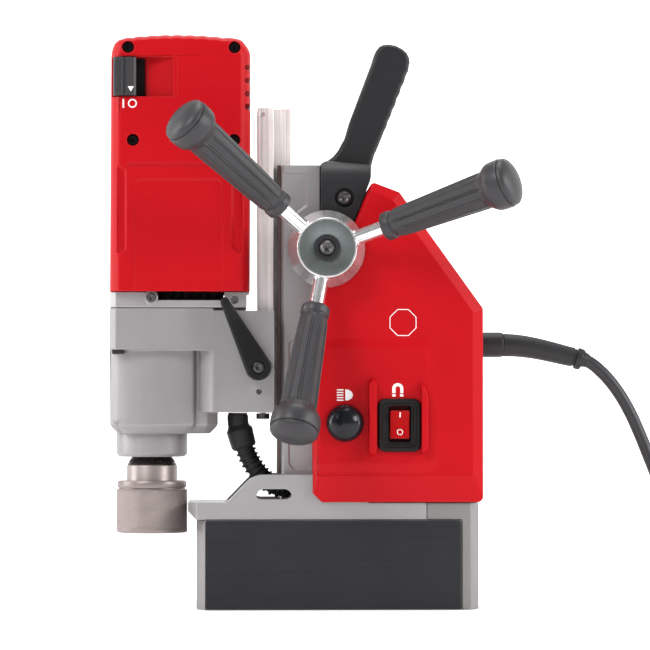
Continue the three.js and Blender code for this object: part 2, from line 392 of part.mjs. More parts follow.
  // clamp lever: head on the bracket, tapered arm
  const a = Math.atan2(206 - LEVER_Z, -76.3 - LEVER_X), L = Math.hypot(206 - LEVER_Z, -76.3 - LEVER_X);
  const pts = [];
  const r1 = 8.6, r2 = 2.9;
  for (let i = 0; i <= 10; i++) { const t = a + Math.PI / 2 + 0.12 + (i / 10) * (Math.PI - 0.24); pts.push([LEVER_X + r1 * Math.cos(t), LEVER_Z + r1 * Math.sin(t)]); }
  for (let i = 0; i <= 4; i++) { const t = a - Math.PI / 2 + 0.12 + (i / 4) * (Math.PI - 0.24); pts.push([LEVER_X + L * Math.cos(a) + r2 * Math.cos(t), LEVER_Z + L * Math.sin(a) + r2 * Math.sin(t)]); }
  let s = add(prismY(pts, -52, -44.5), cylY(LEVER_X, LEVER_Z, 8.4, -45, -38.4, 24));
  s = cut(s, cylY(LEVER_X, LEVER_Z, 4.1, -60, -48.5, 16), cylY(LEVER_X, LEVER_Z, 2.3, -60, -30, 12));
  piece('clamp_lever', s, 'rubber');
  piece('lever_screw', latheY([[0, -51.6], [3.7, -51.6], [3.7, -48.8], [2, -48.8], [2, -26], [0, -26]], LEVER_X, LEVER_Z, 12), 'screw');
}
{
  // protective conduit for the motor lead, from the bracket into the stand
  piece('conduit_boot', tubeAlong([V3(-67.2, 0, 131.6), V3(-67.2, 0, 126), V3(-65.6, 0, 117), V3(-62.8, 0, 108.6)], 7, 12, 4), 'rubber');
  piece('flex_conduit', tubeAlong([V3(-62.6, 0, 108.1), V3(-59.4, 0, 99.4), V3(-55, 0, 90.6), V3(-49.4, 0, 84.2), V3(-42, 0, 80.9), V3(-33, 0, 80.2), V3(-20, 0, 80.2)], 6.4, 10, 14), 'rubber');
}

// ============================================================ mains lead
const CORD = [[168.9, 0, 168.4], [173.4, 0, 166.6], [179.7, 0, 159.2], [186.4, 0, 151.6], [192.8, 0, 143.2], [199.6, 0.2, 131.6], [206.6, 0.2, 117],
  [213.4, -0.9, 101], [220.2, -3.2, 84], [227, -8, 66.6], [234.2, -15.6, 50.6], [243, -25, 36], [250, -30, 27.6], [255.5, -32.2, 22.3]];
{
  piece('cord_gland', add(cylX(0, 178.2, 8.2, 97.1, 114, 24), cylX(0, 178.2, 6.9, 92, 98, 20)), 'rubber');
  // tapered strain relief that droops with the lead
  const mid = [V3(114.3, 0, 178.2), V3(124, 0, 177.9), V3(135, 0, 176.4), V3(146, 0, 173.9), V3(157, 0, 171.1), V3(163.6, 0, 169.7), V3(168.1, 0, 168.1)];
  piece('cord_boot', tubeAlong(mid, 7, 12, 10), 'rubber');
  piece('power_cord', tubeAlong(CORD.map((p) => V3(...p)), CORD_R, 10, 18), 'rubber');
  const h = [[COIL_R0, 1.2], [COIL_R0 + 1, 0.1], [COIL_R1 - 1, 0.1], [COIL_R1, 1.2], [COIL_R1, COIL_H - 1], [COIL_R1 - 1, COIL_H], [COIL_R0 + 1, COIL_H], [COIL_R0, COIL_H - 1]];
  piece('cord_coil', latheZ(h, COIL_CX, COIL_CY, 28, true), 'rubber');
  // plug on the floor beside the coil, pointing away along +Y
  const px = COIL_CX + COIL_R1 - CORD_R, y0 = COIL_CY + 38;
  let plug = add(tubeAlongY(px, 9.4, y0, y0 + 14, 4.6, 6.2), box(px - 9, px + 9, y0 + 13.5, y0 + 33, 0.4, 23.4), box(px - 12.5, px + 12.5, y0 + 32.5, y0 + 40, 0.4, 25.4));
  piece('plug_body', plug, 'rubber');
  for (const [name, dx] of [['plug_blade_live', -6.35], ['plug_blade_neutral', 6.35]])
    piece(name, box(px + dx - 0.8, px + dx + 0.8, y0 + 40.3, y0 + 58, 13, 19.2), 'brass');
  piece('plug_earth_pin', cylY(px, 7, 2.4, y0 + 40.3, y0 + 61, 12), 'brass');
}
function tubeAlongY(cx, cz, y0, y1, r0, r1) {
  return latheY([[0, y0], [r0, y0], [r1, y1], [0, y1]], cx, cz, 12);
}

export default group;
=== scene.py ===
import bpy, bmesh, math
import numpy as np
from mathutils import Vector, Matrix, Quaternion


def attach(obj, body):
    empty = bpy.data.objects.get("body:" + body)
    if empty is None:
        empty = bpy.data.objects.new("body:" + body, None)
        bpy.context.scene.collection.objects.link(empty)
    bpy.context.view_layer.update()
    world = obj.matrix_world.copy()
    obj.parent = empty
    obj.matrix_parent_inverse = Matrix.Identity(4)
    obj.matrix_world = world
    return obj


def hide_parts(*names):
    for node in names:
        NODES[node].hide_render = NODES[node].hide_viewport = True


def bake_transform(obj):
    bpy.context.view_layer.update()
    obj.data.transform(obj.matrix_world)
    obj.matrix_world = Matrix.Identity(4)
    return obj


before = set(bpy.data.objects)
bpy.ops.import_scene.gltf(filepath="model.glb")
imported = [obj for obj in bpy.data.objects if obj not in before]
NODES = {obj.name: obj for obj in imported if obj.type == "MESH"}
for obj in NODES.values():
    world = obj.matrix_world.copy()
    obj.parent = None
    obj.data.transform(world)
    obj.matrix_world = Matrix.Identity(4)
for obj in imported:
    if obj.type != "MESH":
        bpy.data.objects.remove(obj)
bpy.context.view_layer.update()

MM = 0.001
scene = bpy.context.scene
RAD = math.pi / 180

# ------------------------------------------------------------------ camera
cam_data = bpy.data.cameras.new("camera")
cam = bpy.data.objects.new("camera", cam_data)
scene.collection.objects.link(cam)
scene.camera = cam
cam_data.sensor_width = 36
cam_data.lens = 182.9
cam_data.clip_start, cam_data.clip_end = 0.1, 60
cam.location = (-0.0787, -2.25, 0.1323)
cam.rotation_euler = Vector((0.0315, 1, 0.02636)).to_track_quat("-Z", "Y").to_euler()
scene.view_settings.view_transform = "Standard"

# ------------------------------------------------------------- mesh helpers
def put(name, me):
    o = bpy.data.objects.new(name, me)
    scene.collection.objects.link(o)
    return o

def make(name, verts, faces, weld=True):
    me = bpy.data.meshes.new(name)
    me.from_pydata([(float(x) * MM, float(y) * MM, float(z) * MM) for x, y, z in verts], [], faces)
    bm = bmesh.new(); bm.from_mesh(me)
    if weld:
        bmesh.ops.remove_doubles(bm, verts=bm.verts, dist=2e-6)
        bmesh.ops.dissolve_degenerate(bm, edges=bm.edges, dist=1e-6)
    bmesh.ops.recalc_face_normals(bm, faces=bm.faces)
    bm.to_mesh(me); bm.free()
    return put(name, me)

def bake(o):
    dg = bpy.context.evaluated_depsgraph_get()
    dg.update()
    me = bpy.data.meshes.new_from_object(o.evaluated_get(dg))
    o.modifiers.clear()
    old = o.data
    o.data = me
    me.name = o.name
    bpy.data.meshes.remove(old)
    return o

def drop(o):
    me = o.data
    bpy.data.objects.remove(o)
    if me.users == 0:
        bpy.data.meshes.remove(me)

def boolean(o, others, op="DIFFERENCE"):
    for c in others:
        m = o.modifiers.new("b", "BOOLEAN")
        m.operation, m.solver, m.object = op, "EXACT", c
        bake(o)
        drop(c)
    return o

def union(name, parts):
    o = parts[0]
    boolean(o, parts[1:], "UNION")
    o.name = name
    return o

def tidy(o):
    """joins flat neighbours into one face, so that edge rounding runs clean"""
    bm = bmesh.new(); bm.from_mesh(o.data)
    bmesh.ops.remove_doubles(bm, verts=bm.verts, dist=3e-6)
    bmesh.ops.dissolve_limit(bm, angle_limit=0.6 * RAD, verts=bm.verts, edges=bm.edges)
    bmesh.ops.recalc_face_normals(bm, faces=bm.faces)
    bm.to_mesh(o.data); bm.free()
    return o

def soften(o, width, seg=3, angle=32, weighted=True):
    m = o.modifiers.new("edge", "BEVEL")
    m.width, m.segments, m.limit_method, m.angle_limit = width * MM, seg, "ANGLE", angle * RAD
    m.use_clamp_overlap = False
    m.miter_outer = "MITER_ARC"
    smooth(o)
    if weighted:
        w = o.modifiers.new("wn", "WEIGHTED_NORMAL")
        w.keep_sharp = True
    return o

def smooth(o, angle=None):
    me = o.data
    me.polygons.foreach_set("use_smooth", [True] * len(me.polygons))
    if angle is not None:
        me.set_sharp_from_angle(angle=angle * RAD)
    me.update()
    return o

def arc_corners(pts, radii, n=6):
    """polygon with its corners replaced by arcs"""
    out, N = [], len(pts)
    if not hasattr(radii, "__len__"): radii = [radii] * N
    for i in range(N):
        p = np.array(pts[i], float); a = np.array(pts[i - 1], float); b = np.array(pts[(i + 1) % N], float); r = radii[i]
        u, v = a - p, b - p
        lu, lv = np.linalg.norm(u), np.linalg.norm(v)
        if r <= 0 or lu < 1e-6 or lv < 1e-6: out.append(tuple(p)); continue
        u, v = u / lu, v / lv
        half = math.acos(max(-1, min(1, float(u @ v)))) / 2
        if abs(half - math.pi / 2) < 0.01 or half < 0.02: out.append(tuple(p)); continue
        d = min(r / math.tan(half), lu * 0.49, lv * 0.49)
        r = d * math.tan(half)
        c = p + (u + v) / np.linalg.norm(u + v) * (r / math.sin(half))
        s, e = p + u * d - c, p + v * d - c
        a0, a1 = math.atan2(s[1], s[0]), math.atan2(e[1], e[0])
        da = (a1 - a0 + math.pi) % (2 * math.pi) - math.pi
        for k in range(n + 1):
            t = a0 + da * k / n
            out.append((c[0] + r * math.cos(t), c[1] + r * math.sin(t)))
    return out

def area(pts):
    return sum(pts[i - 1][0] * pts[i][1] - pts[i][0] * pts[i - 1][1] for i in range(len(pts))) / 2

def inset(pts, d):
    """polygon moved inward, by d, or by a width for each edge i -> i+1"""
    N = len(pts); w = d if hasattr(d, "__len__") else [d] * N
    s = 1 if area(pts) > 0 else -1
    P = [np.array(p, float) for p in pts]
    lines = []
    for i in range(N):
        a, b = P[i], P[(i + 1) % N]
        t = (b - a) / max(np.linalg.norm(b - a), 1e-9)
        nrm = np.array([-t[1], t[0]]) * s
        lines.append((a + nrm * w[i], t))
    out = []
    for i in range(N):
        (p, t), (q, u) = lines[i - 1], lines[i]
        den = t[0] * u[1] - t[1] * u[0]
        if abs(den) < 0.03: out.append(tuple(q if abs(w[i]) >= abs(w[i-1]) else q)); continue
        k = ((q[0] - p[0]) * u[1] - (q[1] - p[1]) * u[0]) / den
        out.append(tuple(p + t * k))
    return out

AX = {"x": lambda t, p, q: (t, p, q), "y": lambda t, p, q: (p, t, q), "z": lambda t, p, q: (p, q, t)}

def loft(name, loops, caps=True):
    """skin through loops of equal count"""
    n = len(loops[0]); verts = [v for l in loops for v in l]; faces = []
    for k in range(len(loops) - 1):
        for i in range(n):
            j = (i + 1) % n
            faces.append((k * n + i, k * n + j, (k + 1) * n + j, (k + 1) * n + i))
    if caps:
        faces.append(tuple(range(n))[::-1])
        faces.append(tuple((len(loops) - 1) * n + i for i in range(n)))
    return make(name, verts, faces)

def prism(name, pts, axis, a, b):
    f = AX[axis]
    return loft(name, [[f(a, p, q) for p, q in pts], [f(b, p, q) for p, q in pts]])

def layered(name, axis, layers):
    """loft of 2-D outlines: layers is [(height, outline), ...]"""
    f = AX[axis]
    return loft(name, [[f(t, p, q) for p, q in pts] for t, pts in layers])

def rect(a0, a1, b0, b1): return [(a0, b0), (a1, b0), (a1, b1), (a0, b1)]

def box(name, x0, x1, y0, y1, z0, z1): return prism(name, rect(x0, x1, y0, y1), "z", z0, z1)

def circle(cx, cy, r, n=48, a0=0.0): return [(cx + r * math.cos(a0 + 2 * math.pi * i / n), cy + r * math.sin(a0 + 2 * math.pi * i / n)) for i in range(n)]

def cyl(name, axis, c, r, a, b, n=48): return prism(name, circle(c[0], c[1], r, n), axis, a, b)

def soft_profile(prof, r, n=3, ends=True):
    """open profile with its inner corners rounded; r is a number or one per point"""
    N = len(prof)
    radii = r if hasattr(r, "__len__") else [r] * N
    out = [prof[0]]
    for i in range(1, N - 1):
        tri = arc_corners([prof[i - 1], prof[i], prof[i + 1]], [0, radii[i], 0], n)
        out += tri[1:-1]
    return out + [prof[-1]]

def turned(name, prof, origin, direction, n=96, shape=None):
    """lathe; profile (r, h) along direction from origin; shape(theta, h, r) may change r"""
    d = Vector(direction).normalized()
    ref = Vector((0, 0, 1)) if abs(d.z) < 0.9 else Vector((1, 0, 0))
    u = d.cross(ref).normalized(); v = d.cross(u)
    o = Vector(origin)
    verts, faces = [], []
    for r, h in prof:
        for i in range(n):
            t = 2 * math.pi * i / n
            rr = shape(t, h, r) if shape else r
            p = o + d * h + (u * math.cos(t) + v * math.sin(t)) * rr
            verts.append((p.x, p.y, p.z))
    for k in range(len(prof) - 1):
        for i in range(n):
            j = (i + 1) % n
            faces.append((k * n + i, k * n + j, (k + 1) * n + j, (k + 1) * n + i))
    closed = abs(prof[0][0] - prof[-1][0]) < 1e-9 and abs(prof[0][1] - prof[-1][1]) < 1e-9
    if not closed:
        if prof[0][0] > 1e-6: faces.append(tuple(range(n)))
        if prof[-1][0] > 1e-6: faces.append(tuple((len(prof) - 1) * n + i for i in range(n)))
    return make(name, verts, faces)

def spline(points, n):
    """smooth line through points (Catmull-Rom), n samples evenly spaced"""
    P = [np.array(p, float) for p in points]
    P = [2 * P[0] - P[1]] + P + [2 * P[-1] - P[-2]]
    fine = []
    for i in range(1, len(P) - 2):
        for k in range(24):
            t = k / 24
            a, b, c, d = P[i - 1], P[i], P[i + 1], P[i + 2]
            fine.append(0.5 * ((2 * b) + (c - a) * t + (2 * a - 5 * b + 4 * c - d) * t * t + (3 * b - a - 3 * c + d) * t ** 3))
    fine.append(P[-2])
    F = np.array(fine)
    s = np.concatenate([[0], np.cumsum(np.linalg.norm(np.diff(F, axis=0), axis=1))])
    q = np.linspace(0, s[-1], n)
    return np.stack([np.interp(q, s, F[:, k]) for k in range(F.shape[1])], 1), s[-1]

def sweep(name, line, radius, sides=24, caps=True):
    """tube along a line of points; radius is a number or one per point"""
    L = np.asarray(line, float); N = len(L)
    R = radius if hasattr(radius, "__len__") else [radius] * N
    T = np.gradient(L, axis=0); T /= np.linalg.norm(T, axis=1)[:, None]
    side = np.array([0, 1.0, 0]) if abs(T[0][1]) < 0.9 else np.array([1.0, 0, 0])
    verts = []
    for i in range(N):
        side = side - T[i] * (side @ T[i]); side /= np.linalg.norm(side)
        up = np.cross(T[i], side)
        for k in range(sides):
            a = 2 * math.pi * k / sides
            verts.append(L[i] + (side * math.cos(a) + up * math.sin(a)) * R[i])
    faces = []
    for i in range(N - 1):
        for k in range(sides):
            j = (k + 1) % sides
            faces.append((i * sides + k, i * sides + j, (i + 1) * sides + j, (i + 1) * sides + k))
    if caps:
        faces += [tuple(range(sides))[::-1], tuple((N - 1) * sides + k for k in range(sides))]
    return make(name, verts, faces)

# --------------------------------------------------------------- materials
def nd(nt, kind, **kw):
    n = nt.nodes.new(kind)
    for k, v in kw.items():
        if k == "ins":
            for i, x in v.items(): n.inputs[i].default_value = x
        else: setattr(n, k, v)
    return n

def material(name, base, rough=0.4, metal=0.0, coat=0.0, tint=0.06, tint_scale=18, grain=900, grain_bump=0.05,
             grain_dist=0.00012, brush=None, brush_bump=0.06, rough_var=0.08, edge=0.0, rings=None, lines=0.0, spec=0.5, aniso=0.0):
    """procedural surface: large soft tint, fine grain in bump and roughness, optional brushing, lighter edges as a
    painted highlight, turning rings with painted radial reflection streaks
    """
    m = bpy.data.materials.new(name); m.use_nodes = True
    nt = m.node_tree; nt.nodes.clear(); L = nt.links.new
    out = nd(nt, "ShaderNodeOutputMaterial"); b = nd(nt, "ShaderNodeBsdfPrincipled")
    L(b.outputs[0], out.inputs[0])
    b.inputs["Metallic"].default_value = metal
    b.inputs["Coat Weight"].default_value = coat
    b.inputs["Coat Roughness"].default_value = 0.15
    b.inputs["Specular IOR Level"].default_value = spec
    b.inputs["Anisotropic"].default_value = aniso
    tc = nd(nt, "ShaderNodeTexCoord")
    big = nd(nt, "ShaderNodeTexNoise", ins={"Scale": tint_scale, "Detail": 4, "Roughness": 0.6})
    L(tc.outputs["Object"], big.inputs["Vector"])
    fine = nd(nt, "ShaderNodeTexNoise", ins={"Scale": grain, "Detail": 3, "Roughness": 0.6})
    L(tc.outputs["Object"], fine.inputs["Vector"])
    # colour
    ramp = nd(nt, "ShaderNodeMapRange", ins={"From Min": 0.3, "From Max": 0.7, "To Min": 1 - tint, "To Max": 1 + tint})
    L(big.outputs["Fac"], ramp.inputs["Value"])
    mul = nd(nt, "ShaderNodeVectorMath", operation="SCALE"); mul.inputs[0].default_value = base[:3]
    L(ramp.outputs[0], mul.inputs["Scale"])
    col = mul.outputs[0]
    height = fine.outputs["Fac"]
    rough_src = fine.outputs["Fac"]
    if brush:
        mp = nd(nt, "ShaderNodeMapping"); mp.inputs["Scale"].default_value = brush
        L(tc.outputs["Object"], mp.inputs["Vector"])
        br = nd(nt, "ShaderNodeTexNoise", ins={"Scale": 1.0, "Detail": 5, "Roughness": 0.65})
        L(mp.outputs[0], br.inputs["Vector"])
        r2 = nd(nt, "ShaderNodeMapRange", ins={"From Min": 0.25, "From Max": 0.75, "To Min": 1 - lines, "To Max": 1 + lines})
        L(br.outputs["Fac"], r2.inputs["Value"])
        mul2 = nd(nt, "ShaderNodeVectorMath", operation="SCALE")
        L(col, mul2.inputs[0]); L(r2.outputs[0], mul2.inputs["Scale"]); col = mul2.outputs[0]
        rough_src = br.outputs["Fac"]
    # painted highlight: colour lightened along rounded edges, broken up by the large tint noise
    if edge:
        bev = nd(nt, "ShaderNodeBevel", samples=4, ins={"Radius": 0.0008})
        geo = nd(nt, "ShaderNodeNewGeometry")
        dot = nd(nt, "ShaderNodeVectorMath", operation="DOT_PRODUCT")
        L(bev.outputs[0], dot.inputs[0]); L(geo.outputs["Normal"], dot.inputs[1])
        er = nd(nt, "ShaderNodeMapRange", ins={"From Min": 0.995, "From Max": 0.9, "To Min": 0.0, "To Max": edge})
        L(dot.outputs["Value"], er.inputs["Value"])
        edge_highlight_mask = nd(nt, "ShaderNodeMath", operation="MULTIPLY")
        L(er.outputs[0], edge_highlight_mask.inputs[0]); L(big.outputs["Fac"], edge_highlight_mask.inputs[1])
        mx = nd(nt, "ShaderNodeMix", data_type="RGBA")
        L(edge_highlight_mask.outputs[0], mx.inputs["Factor"]); L(col, mx.inputs["A"])
        mx.inputs["B"].default_value = (*[min(1, c * 1.5 + 0.08) for c in base[:3]], 1)
        col = mx.outputs["Result"]
    L(col, b.inputs["Base Color"])
    rr = nd(nt, "ShaderNodeMapRange", ins={"From Min": 0.3, "From Max": 0.7, "To Min": max(0.02, rough - rough_var), "To Max": min(1, rough + rough_var)})
    L(rough_src, rr.inputs["Value"]); L(rr.outputs[0], b.inputs["Roughness"])
    bump = nd(nt, "ShaderNodeBump", ins={"Strength": grain_bump, "Distance": grain_dist})
    L(height, bump.inputs["Height"])
    last = bump
    if brush:
        b2 = nd(nt, "ShaderNodeBump", ins={"Strength": brush_bump, "Distance": 0.00008})
        L(br.outputs["Fac"], b2.inputs["Height"]); L(last.outputs[0], b2.inputs["Normal"]); last = b2
    if rings:
        cx, cy, cz, axis, freq, amp = rings
        sub = nd(nt, "ShaderNodeVectorMath", operation="SUBTRACT"); sub.inputs[1].default_value = (cx * MM, cy * MM, cz * MM)
        L(tc.outputs["Object"], sub.inputs[0])
        msk = nd(nt, "ShaderNodeVectorMath", operation="MULTIPLY")
        msk.inputs[1].default_value = tuple(0.0 if k == axis else 1.0 for k in range(3))
        L(sub.outputs[0], msk.inputs[0])
        ln = nd(nt, "ShaderNodeVectorMath", operation="LENGTH"); L(msk.outputs[0], ln.inputs[0])
        unit = nd(nt, "ShaderNodeVectorMath", operation="NORMALIZE"); L(msk.outputs[0], unit.inputs[0])
        # painted reflection: colour darkened and lightened by angle round the axis, standing in for the conic
        # highlights of turned metal
        painted_reflection_fan = nd(nt, "ShaderNodeTexNoise", ins={"Scale": 1.7, "Detail": 6, "Roughness": 0.55}); L(unit.outputs[0], painted_reflection_fan.inputs["Vector"])
        fr_ = nd(nt, "ShaderNodeMapRange", ins={"From Min": 0.35, "From Max": 0.65, "To Min": 0.88 if amp > .1 else 0.66, "To Max": 1.08 if amp > .1 else 1.16}); L(painted_reflection_fan.outputs["Fac"], fr_.inputs["Value"])
        fm = nd(nt, "ShaderNodeVectorMath", operation="SCALE"); L(col, fm.inputs[0]); L(fr_.outputs[0], fm.inputs["Scale"]); L(fm.outputs[0], b.inputs["Base Color"])
        cmb = nd(nt, "ShaderNodeCombineXYZ"); L(ln.outputs["Value"], cmb.inputs[0])
        rn = nd(nt, "ShaderNodeTexNoise", ins={"Scale": freq, "Detail": 3, "Roughness": 0.7}); L(cmb.outputs[0], rn.inputs["Vector"])
        b3 = nd(nt, "ShaderNodeBump", ins={"Strength": amp, "Distance": 0.0001})
        L(rn.outputs["Fac"], b3.inputs["Height"]); L(last.outputs[0], b3.inputs["Normal"]); last = b3
    L(last.outputs[0], b.inputs["Normal"])
    return m

M = {
    "red": material("red_moulded", (0.45, 0.0022, 0.0065), 0.42, 0, coat=0.0, tint=0.035, tint_scale=9, grain=2600, grain_bump=0.12, edge=0.4, spec=0.13),
    "cast": material("cast_satin", (0.335, 0.325, 0.330), 0.42, 0.45, tint=0.05, tint_scale=14, grain=1500, grain_bump=0.35, edge=0.8),
    "gearbox": material("gearbox_satin", (0.285, 0.274, 0.279), 0.45, 0.35, tint=0.05, tint_scale=12, grain=1700, grain_bump=0.3, edge=0.9, brush=(60, 60, 5), lines=0.06, brush_bump=0.1),
    "steel": material("ground_steel", (0.235, 0.222, 0.222), 0.45, 0.45, tint=0.05, grain=1500, brush=(14, 400, 900), lines=0.06, brush_bump=0.12, edge=0.6),
    "panel": material("dark_panel", (0.0145, 0.015, 0.018), 0.48, 0.05, tint=0.1, tint_scale=20, grain=2500, brush=(9, 9, 1300), lines=0.3, brush_bump=0.25, edge=0.25, spec=0.3),
    "slide": material("slide_steel", (0.80, 0.765, 0.75), 0.36, 0.3, tint=0.09, tint_scale=34, brush=(800, 800, 7), lines=0.3, brush_bump=0.2, edge=0.5),
    "polished": material("polished_steel", (0.74, 0.73, 0.74), 0.25, 0.82, tint=0.02, grain_bump=0.005, rough_var=0.01, rings=(-8.5, 0, 241.1, 1, 2600, 0.03)),
    "disc": material("turned_disc", (0.19, 0.212, 0.208), 0.36, 0.9, tint=0.05, grain=1500, grain_bump=0.01, rough_var=0.03, rings=(-8.5, 0, 241.1, 1, 5200, 0.3)),
    "chrome": material("chrome", (0.88, 0.89, 0.90), 0.16, 0.9, tint=0.01, grain_bump=0.01, rough_var=0.03),
    "black": material("black_moulded", (0.018, 0.018, 0.020), 0.44, 0, tint=0.08, grain=1900, grain_bump=0.35, edge=0.25, spec=0.24),
    "grip": material("grip_moulded", (0.034, 0.032, 0.035), 0.42, 0, tint=0.06, grain=2300, grain_bump=0.3, edge=0.3, spec=0.38),
    "rubber": material("rubber", (0.016, 0.016, 0.018), 0.5, 0, tint=0.1, grain=2100, grain_bump=0.3, spec=0.36),
    "lead": material("lead_jacket", (0.022, 0.022, 0.025), 0.42, 0, tint=0.08, grain=1700, grain_bump=0.2, spec=0.42),
    "hose": material("hose_rubber", (0.009, 0.010, 0.010), 0.42, 0, tint=0.1, grain=1500, grain_bump=0.3, spec=0.4),
    "dome": material("glossy_black", (0.008, 0.009, 0.012), 0.22, 0, coat=0.0, tint=0.05, grain=1500, grain_bump=0.03, spec=0.3),
    "screw": material("black_oxide", (0.085, 0.08, 0.085), 0.32, 0.75, tint=0.1, grain=2500, grain_bump=0.2, edge=0.5),
    "satin": material("satin_nickel", (0.34, 0.295, 0.28), 0.42, 0.6, tint=0.05, grain=1600, grain_bump=0.1, edge=0.5, brush=(20, 20, 1400), lines=0.06, brush_bump=0.08),
    "sleeve": material("knurled_satin", (0.265, 0.222, 0.212), 0.42, 0.6, tint=0.05, grain=1600, grain_bump=0.08, rough_var=0.05, edge=0.5),
    "silver": material("silver_turned", (0.60, 0.58, 0.57), 0.28, 0.9, tint=0.04, brush=(20, 20, 1600), lines=0.05, brush_bump=0.15),
    "oxide": material("dark_cone", (0.03, 0.022, 0.022), 0.3, 0.7, tint=0.1, grain=1500, grain_bump=0.1),
    "gib": material("gib_strip", (0.10, 0.07, 0.065), 0.42, 0.6, tint=0.1, brush=(700, 700, 14), lines=0.15, brush_bump=0.2),
    "bronze": material("bronze", (0.52, 0.36, 0.17), 0.35, 1, tint=0.08, grain=1300, grain_bump=0.1),
    "copper": material("copper", (0.55, 0.22, 0.09), 0.35, 0.9, tint=0.1, brush=(30, 30, 900), lines=0.2),
    "resin": material("cast_resin", (0.02, 0.02, 0.024), 0.3, 0, tint=0.15, tint_scale=40, grain=700, grain_bump=0.2),
    "board": material("board", (0.02, 0.14, 0.06), 0.35, 0, tint=0.1, grain=600, grain_bump=0.1),
    "lamination": material("lamination", (0.25, 0.25, 0.26), 0.45, 0.9, tint=0.06, brush=(20, 20, 1800), lines=0.25, brush_bump=0.4),
    "white": material("white_print", (0.86, 0.85, 0.85), 0.45, 0, tint=0.015, grain=2600, grain_bump=0.05),
    "rocker": material("red_switch", (0.36, 0.0018, 0.003), 0.45, 0, coat=0.0, tint=0.05, grain=1500, grain_bump=0.03, edge=0.5, spec=0.08),
    "lever": material("lever_moulded", (0.0075, 0.0075, 0.0085), 0.46, 0, tint=0.1, grain=1900, grain_bump=0.4, edge=0.35, spec=0.2),
    "bezel": material("bezel_rubber", (0.0075, 0.006, 0.0065), 0.48, 0, tint=0.1, grain=2100, grain_bump=0.3, edge=0.3, spec=0.22),
    "well": material("switch_well_red", (0.16, 0.002, 0.003), 0.5, 0, tint=0.1, grain=1500, grain_bump=0.1, spec=0.2),
    "dark": material("deep_shadow", (0.006, 0.005, 0.005), 0.6, 0, tint=0.1, grain=900, grain_bump=0.2, spec=0.15),
}

def dress(o, mat, body, replaces=()):
    """material, the body it rides on, what it stands for"""
    o.data.materials.clear()
    o.data.materials.append(M[mat])
    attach(o, body)
    if replaces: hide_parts(*replaces)
    return o

def keep(node, mat, bevel=None, angle=30):
    """a CAD node whose shape is right, given its finish"""
    o = NODES[node]
    o.data.materials.clear()
    o.data.materials.append(M[mat])
    return o

# -------------------------------------------------------------- mains lead
CORD_R, CCX, CCY, CR1, CH = 4.3, 294.0, 35.0, 73.2, 17.6
ROUTE = [(168.9, 0, 168.4), (174.5, 0, 165.3), (180.6, 0, 160.2), (187.0, 0, 153.4), (193.6, 0, 144.4), (200.2, .1, 133.0), (206.8, .1, 118.6),
         (213.4, -.9, 102.0), (220.2, -3.2, 84.4), (227, -8, 66.6), (234.2, -15.6, 50.6), (243, -25, 36), (250, -30, 27.6), (255.5, -32.2, 22.3)]
def lead_points():
    pitch, r0, per = 8.65, CR1 - CORD_R, 24
    zt, zb = CH - CORD_R - 0.3, CORD_R + 0.05
    yt = CCY - r0
    pts = list(ROUTE) + [(263.5, yt + 0.35, 17.0), (273, yt + 0.02, 14.0), (283.5, yt, 13.05)]
    ease = lambda v: (lambda s: s * s * (3 - 2 * s))(min(1, max(0, v)))
    for k in range(0, int(per * 9.25)):
        deg = 360.0 * k / per                  # turned so far; 270 is where the lead comes in
        if deg < 1800:                         # upper layer, winding inward
            turn, phi = divmod(deg, 360)
            s = ease((phi - 285) / 68)
            r, z = (r0 - pitch * (turn + s), zt) if turn < 4 else (r0 - pitch * 4 - 4.2 * math.sin(math.pi * s), zt + (zb - zt) * s)
        else:                                  # lower layer, winding outward
            q = deg - 1800 - 98                # steps out just after angle 0
            n = max(0, int(q // 360) + 1) if q >= 0 else 0
            s = (n - 1 + ease((q % 360) / 62)) if n else 0
            r, z = r0 - pitch * (4 - min(4, s)), zb
        a = (270 + deg) * RAD
        pts.append((CCX + r * math.cos(a), CCY + r * math.sin(a), z))
    x = CCX + r0
    pts += [(x, CCY + 0.5, zb), (x, CCY + 14, zb + 0.3), (x, CCY + 27, zb + 2.6), (x, CCY + 38.5, zb + 5.0)]
    return pts
LEAD = lead_points()
cu = bpy.data.curves.new("mains_lead", "CURVE"); cu.dimensions = "3D"
sp = cu.splines.new("BEZIER"); sp.bezier_points.add(len(LEAD) - 1); sp.resolution_u = 6
for bp, p in zip(sp.bezier_points, LEAD):
    bp.co = [c * MM for c in p]; bp.handle_left_type = bp.handle_right_type = "AUTO"
cu.bevel_depth, cu.bevel_resolution, cu.use_fill_caps = CORD_R * MM, 6, True
lead = put("mains_lead", cu)
dress(lead, "lead", "stand", ["power_cord", "cord_coil"])
L_pts = np.array(LEAD) * MM
_, LEN = spline(L_pts, 10)
LEN = round(float(LEN), 3)

